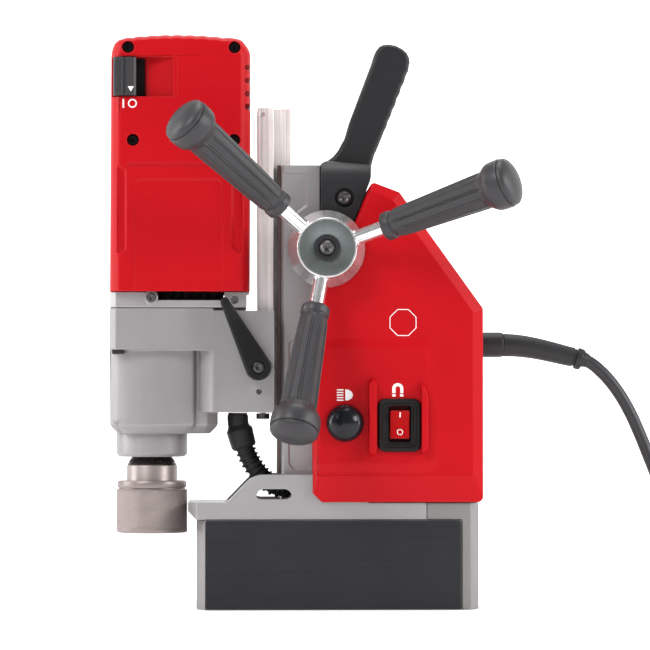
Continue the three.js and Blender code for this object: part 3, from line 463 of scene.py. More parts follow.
PX, PY = CCX + CR1 - CORD_R, CCY + 38
def plug():
    neck = turned("neck", [(4.9, 0), (5.4, 1.5), (5.2, 4), (5.9, 5), (5.5, 7.5), (6.3, 8.5), (5.9, 11), (6.9, 12), (6.9, 16)], (PX, PY, 9.4), (0, 1, 0), 32)
    body = layered("plug_body_v", "y", [(PY + 13.5, arc_corners(rect(PX - 6.5, PX + 6.5, 3.2, 18), 4)), (PY + 17, arc_corners(rect(PX - 8.6, PX + 8.6, 0.9, 22.6), 4)),
        (PY + 31, arc_corners(rect(PX - 9, PX + 9, 0.4, 23.4), 4)), (PY + 33, arc_corners(rect(PX - 12, PX + 12, 0.4, 25.2), 4)), (PY + 39, arc_corners(rect(PX - 12.5, PX + 12.5, 0.4, 25.4), 4)), (PY + 40, arc_corners(rect(PX - 11.8, PX + 11.8, 1, 24.8), 4))])
    b = union("plug_moulding", [body, neck])
    for k in range(4): boolean(b, [box("g", PX - 14, PX - 8.5, PY + 18.5 + 3 * k, PY + 19.7 + 3 * k, 6, 19), box("g", PX + 8.5, PX + 14, PY + 18.5 + 3 * k, PY + 19.7 + 3 * k, 6, 19)])
    soften(b, 0.35, 2); return b
plug_o = dress(plug(), "rubber", "stand", ["plug_body"])
for nm, dx in (("live", -6.35), ("neutral", 6.35)):
    b = layered("blade_" + nm, "y", [(PY + 40.3, rect(PX + dx - .75, PX + dx + .75, 13, 19.2)), (PY + 56, rect(PX + dx - .75, PX + dx + .75, 13, 19.2)), (PY + 58, rect(PX + dx - .35, PX + dx + .35, 13.9, 18.3))])
    boolean(b, [cyl("h", "x", (PY + 53, 16.1), 1.5, PX + dx - 3, PX + dx + 3, 20)]); soften(b, 0.15, 2)
    dress(b, "bronze", "stand", ["plug_blade_" + nm])
pin = turned("earth_pin", [(2.4, 0), (2.4, 17), (2.1, 19), (1.4, 20.2), (0, 20.7)], (PX, PY + 40.3, 7), (0, 1, 0), 32); soften(pin, .1, 1)
dress(pin, "bronze", "stand", ["plug_earth_pin"])

# strain relief: gland, tapered drooping boot, groove and end ring
gl = turned("gland", [(6.7, 92), (6.7, 97.2), (8.5, 97.2), (8.5, 111.5), (8.0, 113.6), (6.6, 114.6)], (0, 0, 178.2), (1, 0, 0), 64); soften(gl, .35, 2)
dress(gl, "rubber", "stand", ["cord_gland"])
line, _ = spline([(114.1, 0, 178.0), (124, 0, 177.5), (135, 0, 175.9), (146, 0, 173.5), (157, 0, 170.8), (163.0, 0, 169.5), (168.0, 0, 167.7)], 90)
rad = []
for i, p in enumerate(line):
    t = i / 89
    r = 7.85 - 1.45 * t
    if t > 0.915: r = 7.35 if t < 0.985 else 6.9
    elif t > 0.885: r = 5.9
    rad.append(r)
ns = sweep("relief_nose", [(166.6, 0, 168.7), (168.4, 0, 168.3), (170.0, 0, 167.75), (171.6, 0, 167.0)], [5.7, 5.5, 5.0, 4.55], 36); smooth(ns, 40); dress(ns, "rubber", "stand", ())
bt = sweep("relief", line, rad, 36); smooth(bt, 40); dress(bt, "rubber", "stand", ["cord_boot"])

# ------------------------------------------------------------ magnet foot
def foot(x0, x1, g=0.0):
    return [(x0, -28), (x0 + 6, -40), (x1 - 6, -40), (x1, -28), (x1, 28), (x1 - 6, 40), (x0 + 6, 40), (x0, 28)]
mag = prism("foot", foot(-95, 94.6), "z", 0, 71.7)
boolean(mag, [box("c", -100, 59.3, -60, 60, 60, 80)])
slot = prism("c", rect(-78, 78, -30, 30), "z", -5, 45); boolean(slot, [prism("d", rect(-60, 60, -12, 12), "z", -6, 50)])
boolean(mag, [slot])
for y in (-1, 1):    # shallow seats that frame the side panels
    boolean(mag, [prism("c", arc_corners(rect(-90, 82.8, -0.5, 60.4), [0, 0, 1.5, 1.5]), "y", y * 39.9, y * 43)])
tidy(mag); soften(mag, 0.7, 3); dress(mag, "steel", "stand", ["magnet_body"])
for nm, y in (("front", -1), ("rear", 1)):
    p = layered("panel_" + nm, "y", [(y * 40.3, arc_corners(rect(-89.2, 82, 0.4, 59.6), 1.2, 4)), (y * 41.3, arc_corners(rect(-89.2, 82, 0.4, 59.6), 1.2, 4)), (y * 41.6, arc_corners(rect(-88.9, 81.7, 0.7, 59.3), 1.0, 4))])
    smooth(p, 25); dress(p, "panel", "stand", ["side_panel_" + nm])

# ---------------------------------------------------------- stand casting
dove = lambda x, e: 9.6 + (x + 43.3) * 0.5 + e
fl = prism("casting", [(-100.8, 71.7), (-100.8, 65.8), (-95.3, 60.3), (59, 60.3), (59, 71.7)], "y", -40, 40)
boolean(fl, [prism("c", [(-100.8, -28), (-95, -40), (70, -40), (70, 40), (-95, 40), (-100.8, 28)], "z", 50, 80)], "INTERSECT")
hump = prism("h", [(-75.6, 70), (-75.6, 71.2), (-60.9, 86.4), (-58.5, 88.3), (-55.6, 89.6), (-52, 90.4), (20, 90.4), (20, 70)], "y", -40, 40)
col = prism("col", [(-38, -23), (-36.2, -25), (26, -25), (26, 25), (-36.2, 25), (-38, 23)], "z", 70, 299)
boolean(col, [box("c", -12, 40, -40, 40, 254, 310)])
boolean(fl, [hump], "UNION"); boolean(fl, [box("c", -90, -38, -34, 34, 71.7, 95)])
boolean(fl, [col, box("l", -13, 14, -8, 8, 253, 288)], "UNION")
STRAP = [(-55.3, 76.2), (-54, 74.6), (-52, 74), (-35, 74), (-32.4, 75), (-31.2, 77), (-33, 79.6), (-35.4, 80.7), (-50.5, 80.7), (-53.4, 79.4)]
boolean(fl, [prism("c", [(-40, -dove(-40, .4)), (-31, -dove(-31.5, .5)), (-31, dove(-31.5, .5)), (-40, dove(-40, .4))], "z", 86, 310),
             box("c", -31.5, -18, -8.6, 8.6, 86, 310), cyl("c", "y", (-8.5, 241.1), 14.4, -10, 10, 48), cyl("c", "y", (-8.5, 241.1), 10.5, -30, 30, 48),
             prism("c", STRAP, "y", -50, 50), box("c", -45, 30, -8, 8, 73, 88), cyl("c", "y", (4, 276), 3, -12, 12, 24)])
# trough that the conduit folds into
boolean(fl, [prism("c", arc_corners(rect(-76, -39.5, -10.5, 10.5), 4, 6), "z", 62.2, 78)])
# lightened panels in the column's faces
for y in (-1, 1):
    for pocket in ([(-39, 293.5), (-20.6, 293.5), (-20.6, 271.5), (-27.2, 266.5), (-39, 266.5)], [(-33.2, 179.5), (-28, 182.5), (-12, 182.5), (-12, 93.5), (-30, 93.5), (-33.2, 97)]):
        q = arc_corners(pocket, 2.2, 4)
        boolean(fl, [layered("c", "y", [(y * 23.9, inset(q, 0.7)), (y * 25.6, inset(q, -0.2))])])
tidy(fl); soften(fl, 0.55, 3); dress(fl, "cast", "stand", ["stand_casting"])
for n in ("gib_front", "gib_rear"): keep(n, "gib")

# ------------------------------------------------------------------ slide
plan = [(-54, -22), (-43.3, -22), (-43.3, -9.6), (-31.5, -15.5), (-31.5, 15.5), (-43.3, 9.6), (-43.3, 22), (-54, 22)]
rail = prism("rail", plan, "z", 131.7, 338)
boolean(rail, [cyl("c", "z", (-49.5, 0), 2.2, 125, 146, 24), cyl("c", "y", (-51.2, 333.5), 1.7, -25, -19, 24), cyl("c", "y", (-51.2, 333.5), 1.7, 19, 25, 24)])
tidy(rail); soften(rail, 0.6, 3); dress(rail, "slide", "carriage", ["slide_rail"])
for y in (-1, 1):
    s = turned("rail_plug_" + ("a" if y < 0 else "b"), [(0.7, 0), (0.7, 1), (1.0, 1.9), (1.5, 2.1), (1.5, 0.4)], (-51.2, y * 19.8, 333.5), (0, y, 0), 24); smooth(s, 40); dress(s, "slide", "carriage", ())
for n in ("feed_rack", "pinion_shaft"): keep(n, "silver")
for n in ("pinion_bush_front", "pinion_bush_rear"): keep(n, "bronze")

def cap_screw(name, origin, direction, r, h, sock, depth, body, mat="screw", replaces=(), button=False, shank=(), knurl=False):
    """screw head with a real hexagon socket; origin is the seat of the head"""
    if button: prof = [(r, 0), (r, h * .22), (r * .93, h * .5), (r * .78, h * .82), (r * .62, h)]
    else: prof = [(r, 0), (r, h - .45), (r - .18, h - .15), (r - .5, h)]
    inner = prof[-1][0]
    hexr = sock / math.cos(math.pi / 6)
    n = 48
    d = Vector(direction).normalized(); ref = Vector((0, 0, 1)) if abs(d.z) < .9 else Vector((1, 0, 0))
    u = d.cross(ref).normalized(); v = d.cross(u); o = Vector(origin)
    def ringp(fn, hh):
        out = []
        for i in range(n):
            t = 2 * math.pi * i / n; rr = fn(t); p = o + d * hh + (u * math.cos(t) + v * math.sin(t)) * rr; out.append((p.x, p.y, p.z))
        return out
    hx = lambda t, k=1.0: k * sock / math.cos((t % (math.pi / 3)) - math.pi / 6)
    loops = [ringp(lambda t, q=q: q, z) for q, z in ([(sh, z) for sh, z in shank] + prof)]
    loops += [ringp(lambda t: hexr * 1.13, h), ringp(lambda t: hexr * 1.02, h - .25), ringp(hx, h - .4), ringp(hx, h - depth), ringp(lambda t: .05, h - depth - sock * .4)]
    s = loft(name, loops); smooth(s, 28); dress(s, mat, body, replaces); return s

cap_screw("stop_screw", (-50.2, 0, 131.4), (0, 0, -1), 4.6, 3.9, 1.6, 2, "carriage", replaces=["rail_stop_screw"], shank=[(1.9, -12.3), (1.9, 0)])

# -------------------------------------------------------------- feed hub
HX, HZ = -8.5, 241.1
hubp = [(8.3, 26), (14, 26), (14, 48.3), (25.5, 48.3), (25.85, 48.7), (25.85, 50.1), (25.5, 50.7), (20.3, 66.0), (19.6, 67.0), (19.0, 67.0)]
hub = turned("hub", hubp + [(9.3, 67.0), (8.9, 66.6), (8.9, 66.2), (0, 66.2), (0, 62), (8.3, 62), (8.3, 26)], (HX, 0, HZ), (0, -1, 0), 128)
ANG, TILT = (19.3, 139.3, 259.3), 25.5
O = Vector((HX, -51.5, HZ)); DIRS = [Vector((math.cos(a * RAD) * math.cos(TILT * RAD), -math.sin(TILT * RAD), math.sin(a * RAD) * math.cos(TILT * RAD))) for a in ANG]
for d in DIRS:
    boolean(hub, [turned("c", [(5.2, 13.5), (5.2, 60)], O, d, 40)])
m = hub.modifiers.new("b", "BEVEL"); m.width, m.segments, m.limit_method, m.angle_limit, m.use_clamp_overlap = 0.0003, 2, "ANGLE", 34 * RAD, False
smooth(hub)
w = hub.modifiers.new("wn", "WEIGHTED_NORMAL"); w.keep_sharp = True
dress(hub, "polished", "feed_wheel", ["feed_hub"])
face = turned("hub_face", [(0, 66.9), (9.4, 66.9), (18.3, 66.9), (18.5, 67.08), (9.3, 67.08), (9.0, 66.95)][1:], (HX, 0, HZ), (0, -1, 0), 128)
smooth(face, 30); dress(face, "disc", "feed_wheel", ())
rg = turned("hub_washer", [(5.6, 66.3), (7.9, 66.3), (8.3, 66.7), (8.3, 68.6), (7.8, 69.4), (6.6, 69.6), (5.6, 69.2), (5.6, 66.3)], (HX, 0, HZ), (0, -1, 0), 64); smooth(rg, 40); dress(rg, "black", "feed_wheel", ["hub_ring"])
cap_screw("hub_bolt", (HX, -67.2, HZ), (0, -1, 0), 5.5, 4.3, 2.6, 2.6, "feed_wheel", replaces=["hub_screw"], button=True)

def grip(name, d):
    prof = [(5.25, 44.5), (7.6, 44.5), (8.5, 44.8), (9.5, 45.7), (9.65, 47), (9.65, 50.4), (9.3, 51.1), (8.6, 51.5), (8.45, 52.1), (8.65, 52.8), (9.15, 53.6)]
    for h in np.linspace(56, 117, 14): prof.append((9.45 + (h - 56) / 61 * 2.45, float(h)))
    prof += [(11.95, 118.4), (12.0, 119.2), (12.4, 120.6), (13.3, 122.2), (14.6, 123.8), (15.6, 125.4), (16.15, 127.2), (16.4, 129.4), (16.45, 132), (16.45, 134.6), (16.2, 135.3), (15.2, 135.6), (15.1, 136.2), (15.7, 136.5), (15.9, 137.1), (15.6, 138.2), (15.0, 139.1), (13.6, 140.2), (11.2, 141.4), (8, 142.3), (4.4, 142.8), (1.6, 143), (0, 143)]
    N = 10
    def shape(t, h, r):
        if h < 53 or h > 121 or r < 6: return r
        k = min(1, (h - 53) / 4) * min(1, max(0, (121 - h) / 2.4))
        x = ((t * N / (2 * math.pi)) % 1.0) - 0.5
        flat = math.cos(math.pi / N) / math.cos(x * 2 * math.pi / N)       # flat lands
        lip = 0.5 * max(0, 1 - (0.5 - abs(x)) / 0.06) - 0.45 * max(0, 1 - abs(0.5 - abs(x) - 0.115) / 0.055)
        return r * (1 + (flat - 1) * k * 1.25) + lip * k
    g = turned(name, prof, O, d, N * 36, shape); smooth(g, 30); return g
for i, d in enumerate(DIRS):
    t = "abc"[i]
    s = turned("rod_" + t, [(0, 14.2), (4.6, 14.2), (5.0, 14.6), (5.0, 124), (0, 124)][1:-1], O, d, 64); smooth(s, 30); dress(s, "chrome", "feed_wheel", ["spoke_" + t])
    st = turned("rod_seat_" + t, soft_profile([(4.98, 17), (5.9, 17), (5.9, 23.6), (5.3, 24.3), (4.98, 24.3)], .2), O, d, 64); smooth(st, 30); dress(st, "polished", "feed_wheel", ())
    dress(grip("handgrip_" + t, d), "grip", "feed_wheel", ["grip_" + t])

# ----------------------------------------------------------------- cover
SHARP = [(-17.3, 72), (96.8, 72), (96.8, 201.8), (40.8, 279.6), (22.2, 286.6), (8.8, 254.3), (-17.3, 254.3)]
WID = [17.5, 7.2, 7.3, 6.7, 1.6, 1.6, 2.7]
RR = [1.5, 4, 3, 3, 3, 2, 1]
def cover():
    inn = inset(SHARP, WID)
    rin = [0.8, 3, 3, 3, 2, 1.5, 0.8]
    o, i = arc_corners(SHARP, RR, 12), arc_corners(inn, rin, 12)
    c = layered("cover", "y", [(-46, i), (-42.4, o), (42.4, o), (46, i)])
    inner = [(-14.8, 60), (94.3, 60), (94.3, 201), (39.2, 277.6), (23.6, 283.5), (9.6, 251.8), (-14.8, 251.8)]
    boolean(c, [prism("c", inner, "y", -41, 41)])
    boolean(c, [prism("c", [(-20, 80.5), (-8.5, 69.4), (-20, 69.4)], "y", -50, 50)])
    boolean(c, [box("c", -20, -12, -25.5, 25.5, 60, 260), box("c", -20, 26.5, -25.5, 25.5, 240, 260), box("c", -20, 14.6, -8.6, 8.6, 250, 290),
                box("c", -20, 22, -40.4, 40.4, 60, 90.8), cyl("c", "y", (HX, HZ), 15, -50, -20, 64), box("c", -20, HX, -50, -20, HZ, 262)])
    # raised lower pad round the controls, openings for switch, button and gland; the finger guards are built after this
    # function
    def pad(d):
        e = max(0, min(d, .8))
        return arc_corners([(-14.4 + e, 91.5 + d), (68 - d, 91.5 + d), (68 - d, 128), (62.4 - d, 181.6 - d), (-14.4 + e, 181.6 - d)], [.5, 11 - d, 10, 10 - d, .5], 10)
    boolean(c, [layered("p", "y", [(-44.6, pad(-1.1)), (-45.87, pad(-1.1)), (-46.12, pad(.9)), (-46.42, pad(2.4)), (-46.84, pad(4.5)), (-47.05, pad(6.2)), (-47.1, pad(7.4))])], "UNION")
    boolean(c, [box("c", 28.4, 52.8, -50, -38, 108.2, 139.1), cyl("c", "y", (4.1, 124.8), 6.4, -50, -38, 48), cyl("c", "x", (0, 178.2), 7.2, 85, 100, 48)])
    tidy(c); soften(c, 0.45, 2, 9.5); return c
dress(cover(), "red", "stand", ["stand_cover"])
r1 = layered("finger_guard_left", "y", [(-45.5, [(19.5, 103.6), (22.4, 101.4), (25.7, 104.4), (25.7, 152.8), (22.6, 156.0), (19.5, 153.6)]), (-53.6, [(20.2, 106.0), (22.4, 104.4), (24.9, 106.8), (24.9, 150.2), (22.6, 152.6), (20.2, 151.2)])])
r2 = layered("finger_guard_right", "y", [(-45.5, [(54.9, 102.6), (60.0, 106.4), (60.0, 144.0), (57.2, 151.4), (54.9, 153.2)]), (-53.6, [(55.2, 105.6), (59.0, 108.0), (59.0, 142.2), (56.6, 148.4), (55.2, 149.6)])])
for r_ in (r1, r2):
    tidy(r_); soften(r_, 0.5, 3, 20); dress(r_, "red", "stand", ())
well = box("switch_well", 33.6, 47.6, -39.6, -38.6, 112.7, 136.1); soften(well, .2, 2); dress(well, "well", "stand")
for n in ("light_switch_body",): keep(n, "black")
keep("control_board", "board")

btn = turned("button", [(0, 36), (5.6, 36), (5.6, 46.6), (12.4, 46.6), (12.5, 47.4)][1:] + [(12.5 * math.cos(t), 47.4 + 10.2 * math.sin(t)) for t in np.linspace(0.08, math.pi / 2 - .02, 16)] + [(0, 57.6)], (4.1, 0, 124.8), (0, -1, 0), 64)
smooth(btn, 40); dress(btn, "dome", "button", ["light_button"])

def rr_(x0, x1, z0, z1, r): return arc_corners(rect(x0, x1, z0, z1), r, 6)
OUT = (26.0, 54.8, 105.7, 141.2)
def ins(g, r): return rr_(OUT[0] + g, OUT[1] - g, OUT[2] + g, OUT[3] - g, r)
BAR = rr_(29, 52, 108.8, 138.5, 1.5)
fr = layered("switch_bezel", "y", [(-27, BAR), (-46.3, BAR), (-46.3, ins(0, 5.0)), (-48.4, ins(0, 5.0)), (-49.6, ins(.55, 4.7)), (-50.0, ins(1.3, 4.2)), (-50.0, ins(2.7, 3.2)), (-49.5, ins(3.1, 3.0)),
    (-48.7, ins(3.4, 2.8)), (-48.6, ins(4.6, 2.2)), (-48.2, ins(5.0, 2.0)), (-47.4, ins(5.2, 1.8)), (-47.2, rr_(33.0, 48.2, 111.9, 136.6, 1.0)), (-46.4, rr_(33.5, 47.7, 112.6, 136.2, .9)), (-29, rr_(33.5, 47.7, 112.6, 136.2, .9))])
smooth(fr, 24); dress(fr, "bezel", "stand", ["switch_frame"])
def rocker():
    tilt = 8 * RAD
    def P(u, w): return (-44.6 - (u * math.cos(tilt) + w * math.sin(tilt)), 124.65 + w * math.cos(tilt) - u * math.sin(tilt))
    prof = [P(-4, -6), P(2, -8.6)] + [P(5.4 - 1.15 * math.cos(w / 9.35 * math.pi / 2) ** 2 * 1.0, w) for w in np.linspace(-9.35, 9.35, 15)] + [P(2, 8.6), P(-4, 6)]
    body = layered("rocker_body", "x", [(34.3, inset(prof[::1], .5)), (34.9, prof), (46.3, prof), (46.9, inset(prof, .5))]); smooth(body, 40)
    return body
dress(rocker(), "rocker", "rocker", ["magnet_rocker"])

# ----------------------------------------------------------------- handle
CONT = [(-11.6, 299.9), (-8.3, 301.6), (-2.8, 305.7), (0.5, 309.8), (2.6, 313.8), (5.3, 318.5), (8.7, 330.1), (14.8, 346.3), (20.9, 362.6), (24.2, 371.2), (25, 374.5), (26.4, 377.9), (28.6, 380.6), (31.2, 382), (35, 382.5), (40, 381.6), (44.6, 379.2), (47.6, 376.6), (49.2, 373.2), (49.6, 369.6), (47.6, 362.6), (44.4, 354.6), (41.4, 346.8), (38.2, 338.6), (34.8, 330.2), (31.6, 321.9), (28.4, 313.8), (25.2, 306.4), (23.4, 299.6), (22.6, 293), (21.4, 287.5)]
def handle():
    c = []
    for a, b in zip(CONT, CONT[1:]):           # finger scallops along the rear edge
        c.append(a)
        if 330 < a[1] < 371 and a[0] > 34 and a[1] > b[1]:
            n = max(2, int(math.dist(a, b) / 1.3))
            for k in range(1, n):
                x, z = a[0] + (b[0] - a[0]) * k / n, a[1] + (b[1] - a[1]) * k / n
                w_ = 0.55 * abs(math.sin((z - 330) * math.pi / 7.6)) - 0.2
                c.append((x + w_, z - w_ * 0.4))
    c.append(CONT[-1])
    g = c + [(16, 276), (-11.6, 276)]
    def lay(w): return inset(g, w)
    a = layered("handle", "y", [(-15, lay(3.6)), (-14.3, lay(1.7)), (-12.6, lay(.5)), (-10.6, g), (10.6, g), (12.6, lay(.5)), (14.3, lay(1.7)), (15, lay(3.6))])
    f = arc_corners([(-11.6, 256), (-11.6, 299.6), (-8, 302), (22.4, 299), (21.9, 290), (21.4, 287.5), (10.2, 259.6), (8.8, 256)], [1, 1, 4, 3, 1, 1, 1, 1], 4)
    b = prism("foot", f, "y", -38, 38)
    boolean(b, [prism("k", [(-39.5, 250), (-39.5, 279), (-37.5, 288), (-36.2, 292), (-33.8, 295.8), (-30.4, 298.8), (-26, 301), (-14.4, 304.8), (14.4, 304.8), (26, 301), (30.4, 298.8), (33.8, 295.8), (36.2, 292), (37.5, 288), (39.5, 279), (39.5, 250)], "x", -30, 60)], "INTERSECT")
    for y in (-1, 1): boolean(b, [turned("c", [(3.2, 0), (3.2, 34.8), (6.7, 34.8), (6.7, 45)], (4.1, 0, 276), (0, y, 0), 64)])
    boolean(a, [box("c", -30, 60, -20, 20, 250, 290)])
    boolean(a, [b], "UNION")
    boolean(a, [box("c", -12.2, 14.5, -8.4, 8.4, 250, 288.5)])
    tidy(a); soften(a, .35, 2, 34); return a
dress(handle(), "black", "stand", ["carry_handle"])
for y in (-1, 1):
    cap_screw("handle_bolt_" + ("a" if y < 0 else "b"), (4.1, y * 34.9, 276), (0, y, 0), 5.5, 3.2, 2.2, 2.1, "stand", mat="screw", replaces=["handle_screw"], button=True, shank=[(2.8, -34.8), (2.8, 0)])

# ---------------------------------------------------------- motor housing
MOTF = [(-153.2, 213), (-153, 250), (-152.9, 290), (-152.6, 330), (-152.5, 371), (-152.2, 373.8), (-151.5, 376.5), (-150.5, 379.2), (-149.2, 380.7), (-147.6, 382), (-142.4, 383.7)]
for k in range(61):     # crown with shallow scallops
    x = -138 + k; base = 383.7 + 1.5 * (1 - ((x + 108) / 30) ** 2)
    MOTF.append((x, base + (0.5 * abs(math.sin(math.pi * (x + 138) / 8.57)) if 0 < k < 60 else 0)))
MOTF += [(-72.7, 384), (-67.3, 383.1), (-64.6, 381.9), (-62.6, 379.5), (-60.9, 377.2), (-59.6, 374.5), (-59, 371.8), (-59, 330), (-59.4, 213)]
def motor():
    N = len(MOTF); W = []
    for i in range(N):
        a, b = MOTF[i], MOTF[(i + 1) % N]; l = math.dist(a, b); nx, nz = abs(b[1] - a[1]) / l, abs(b[0] - a[0]) / l
        W.append((7.6 * nx ** 1.5 + 4.0 * nz ** 1.5) if a[1] + b[1] > 427 else 0.0)
    crown = [i for i in range(N) if -138.5 < MOTF[i][0] < -77.5]
    def lay(k):
        q = inset(MOTF, [w * k for w in W])
        for i in crown: q[i] = (MOTF[i][0], MOTF[i][1] - 4.0 * k)
        return q
    ks = [(0.0, 45.0), (0.10, 44.9), (0.25, 44.5), (0.45, 43.2), (0.65, 41.2), (0.82, 38.8), (0.94, 36.4), (1.0, 34)]
    lays = [(-y, lay(1 - k)) for k, y in ks] + [(y, lay(1 - k)) for k, y in reversed(ks)]
    m = layered("motor", "y", lays)
    boolean(m, [cyl("c", "z", (-108, 0), 40.6, 205, 334, 96), cyl("c", "z", (-108, 0), 24, 333, 352, 64)])
    rc = prism("c", [(-165, -50), (-108.8, -50), (-109.6, -44.0), (-124.5, -39.2), (-129.5, -34.5), (-165, -34.5)], "z", 343.2, 369.8)
    boolean(m, [rc])
    for z in (336.9, 345.6, 354.4, 363.2):
        for x0, x1 in ((-66, -50), (-166, -150)):
            if x0 > -100: boolean(m, [prism("c", arc_corners(rect(-42.6, 31, z - 1.9, z + 1.9), 1.8, 4), "x", x0, x1)])
    for x, z in ((-141, 376.4), (-69.8, 376.4), (-137.7, 314.2), (-70, 314.2)):
        for y in (-1, 1):
            boolean(m, [turned("c", [(4.0, 36.5), (4.0, 44.4), (4.5, 45.1), (4.5, 52)], (x, 0, z), (0, y, 0), 48)])
    for y in (-1, 1):
        # framed lower panel, its ledge, and the fluted strips at its sides
        o = arc_corners(rect(-137.6, -76.4, 205, 289.3), [0, 0, 5, 5], 5)
        boolean(m, [layered("c", "y", [(y * 43.5, inset(o, 3.0)), (y * 44.0, inset(o, 1.9)), (y * 45.1, o), (y * 48, inset(o, -.1))])])
        boolean(m, [layered("c", "y", [(y * 43.9, rect(-141.4, -79, 296.5, 297.6)), (y * 46, rect(-141.4, -79, 295.9, 300.4))])])
        for x0, x1 in ((-149.4, -142.0), (-71.6, -63.4)):
            q = [(x0, 236.5), (x1, 240.6), (x1, 294.5), (x0, 298.6)] if x0 < -100 else [(x0, 240.6), (x1, 236.5), (x1, 298.6), (x0, 294.5)]
            boolean(m, [layered("c", "y", [(y * 42.6, inset(q, 2.0)), (y * 45.2, inset(q, -0.35))])])
    s = [(-152.4, 333.6), (-146.6, 333.6), (-146.6, 342.2), (-152.4, 342.2)]
    boolean(m, [layered("c", "y", [(-44.3, inset(s, .4)), (-47, inset(s, -.2))])])
    tidy(m); soften(m, .4, 2, 36); return m
dress(motor(), "red", "drill_unit", ["motor_housing"])
# the front screws take the deep_shadow colour: painted shade that makes their holes read black
for i, (x, z) in enumerate(((-141, 376.4), (-69.8, 376.4), (-137.7, 314.2), (-70, 314.2))):
    cap_screw("housing_screw_%d" % (i + 1), (x, -38.2, z), (0, -1, 0), 3.45, 3.6, 1.7, 2.2, "drill_unit", mat="dark", replaces=["motor_screw_%d" % (i + 1)])
    cap_screw("housing_screw_back_%d" % (i + 1), (x, 38.2, z), (0, 1, 0), 3.45, 3.6, 1.7, 2.2, "drill_unit")
rim = prism("c", arc_corners(rect(-110.8, -107.6, 342.2, 370.8), 1.2, 4), "y", -45.35, -44.6); smooth(rim, 30); soften(rim, .2, 2); rim.name = "recess_rim"
dress(rim, "red", "drill_unit", ())

# dark sheet in the recess: painted shadow of the slider and its hollow
slider_shadow = box("slider_shadow_sheet", -150.5, -129.8, -35.1, -34.2, 343.5, 369.5); soften(slider_shadow, .15, 1); dress(slider_shadow, "dark", "drill_unit")
sw = prism("slider", arc_corners([(-150.9, -46.9), (-149.4, -48.2), (-144.2, -48.2), (-143.7, -47.0), (-142.9, -47.0), (-142.4, -48.2), (-137.0, -48.2), (-135.5, -46.9), (-135.5, -39.3), (-150.9, -39.3)], 0), "z", 343.7, 369.3)
boolean(sw, [layered("c", "y", [(-47.2, arc_corners(rect(-149.6, -145.4, 346, 367), 1)), (-49, arc_corners(rect(-149.9, -145.1, 345.7, 367.3), 1.2))])])
tidy(sw); soften(sw, .35, 2); dress(sw, "grip", "power_slider", ["motor_switch"])

# ------------------------------------------------------ gear plate, gearbox
gp = box("gear_frame", -153.3, -61.5, -38, 38, 202.3, 207.3)
boolean(gp, [box("c", -153.3, -130.2, -38, 38, 207, 212.7), box("d", -130.2, -121.6, -38, 38, 207, 212.7), box("e", -76.4, -61.5, -38, 38, 207, 212.7), cyl("f", "y", (-125.4, 209.0), 4.6, -38.9, 38, 48)], "UNION")
boolean(gp, [prism("g", [(-153.3, -34), (-149, -38), (-149, -42), (-61.5, -42), (-61.5, 38), (-149, 38), (-153.3, 34)], "z", 200, 214)], "INTERSECT")
boolean(gp, [cyl("c", "z", (-108, 0), 6, 195, 220, 48), cyl("c", "y", (-125.4, 209.0), 1.9, -50, -26, 24), cyl("c", "y", (-69.6, 207.4), 2.6, -50, -33, 32)])
tidy(gp); soften(gp, .45, 2); dress(gp, "cast", "drill_unit", ["gear_plate"])
cap_screw("plate_screw", (-125.4, -38.9, 209.0), (0, -1, 0), 3.3, 2.6, 1.6, 1.8, "drill_unit", mat="screw", replaces=["gear_plate_screw"])

def gearbox():
    g = prism("gearbox", [(-153.3, -34), (-149, -38), (-43, -38), (-43, 38), (-149, 38), (-153.3, 34)], "z", 174, 202)
    boolean(g, [box("c", -84, -40, -50, 50, 200.3, 205)])
    br = prism("b", arc_corners([(-93, -29), (-84, -38), (-43, -38), (-43, 38), (-84, 38), (-93, 29)], [3, 3, 0, 0, 3, 3], 5), "z", 132, 200.3)
    L0 = [(-153.4, -20), (-149, -25), (-88, -25), (-80.8, -18), (-80.8, 18), (-88, 25), (-149, 25), (-153.4, 20)]
    low = layered("l", "z", [(117.7, inset(L0, 5.4)), (121.6, inset(L0, 1.6)), (123.6, L0), (176, L0)])
    face_ = [(x, -32.5 + 2.9 * ((x + 120.7) / 23.4) ** 2) for x in np.linspace(-143.6, -97.8, 15)]
    half = [(-153.4, -17), (-152.6, -19.2), (-149.0, -25.4), (-147.9, -26.4)] + face_ + [(-96.6, -28.6), (-95.9, -26.6), (-95.6, -24)]
    N0 = half + [(x, -y) for x, y in reversed(half)]
    nose = layered("n", "z", [(117.7, [(-122 + (x + 122) * .83, y * .83) for x, y in N0]), (121.8, [(-122 + (x + 122) * .955, y * .955) for x, y in N0]), (123.6, N0), (176, N0)])
    boolean(g, [br, low, nose], "UNION")
    boolean(g, [box("c", -147.8, -88, -33, 33, 178, 210), cyl("c", "z", (-125.5, 0), 13, 95, 185, 64), cyl("c", "z", (-125.5, 0), 20.3, 95, 118, 96),
                box("c", -54.3, -30, -22.3, 22.3, 120, 210), cyl("c", "y", (-53.7, 162), 2.4, -45, -20, 32), cyl("c", "y", (-53.2, 146), 1.8, -45, -34, 32),
                cyl("c", "z", (-67.2, 0), 5.2, 125, 176, 48)])
    tidy(g); soften(g, .8, 3, 30); return g
dress(gearbox(), "gearbox", "drill_unit", ["gearbox_housing"])
ck = turned("gearbox_collar", soft_profile([(20.4, 102.4), (20.4, 102), (22.0, 102), (24, 104.0), (24, 119.3), (20.4, 119.3)], [0, .2, .8, 1.2, .1, 0], 4), (-125.5, 0, 0), (0, 0, 1), 128)
smooth(ck, 35); dress(ck, "gearbox", "drill_unit", ())

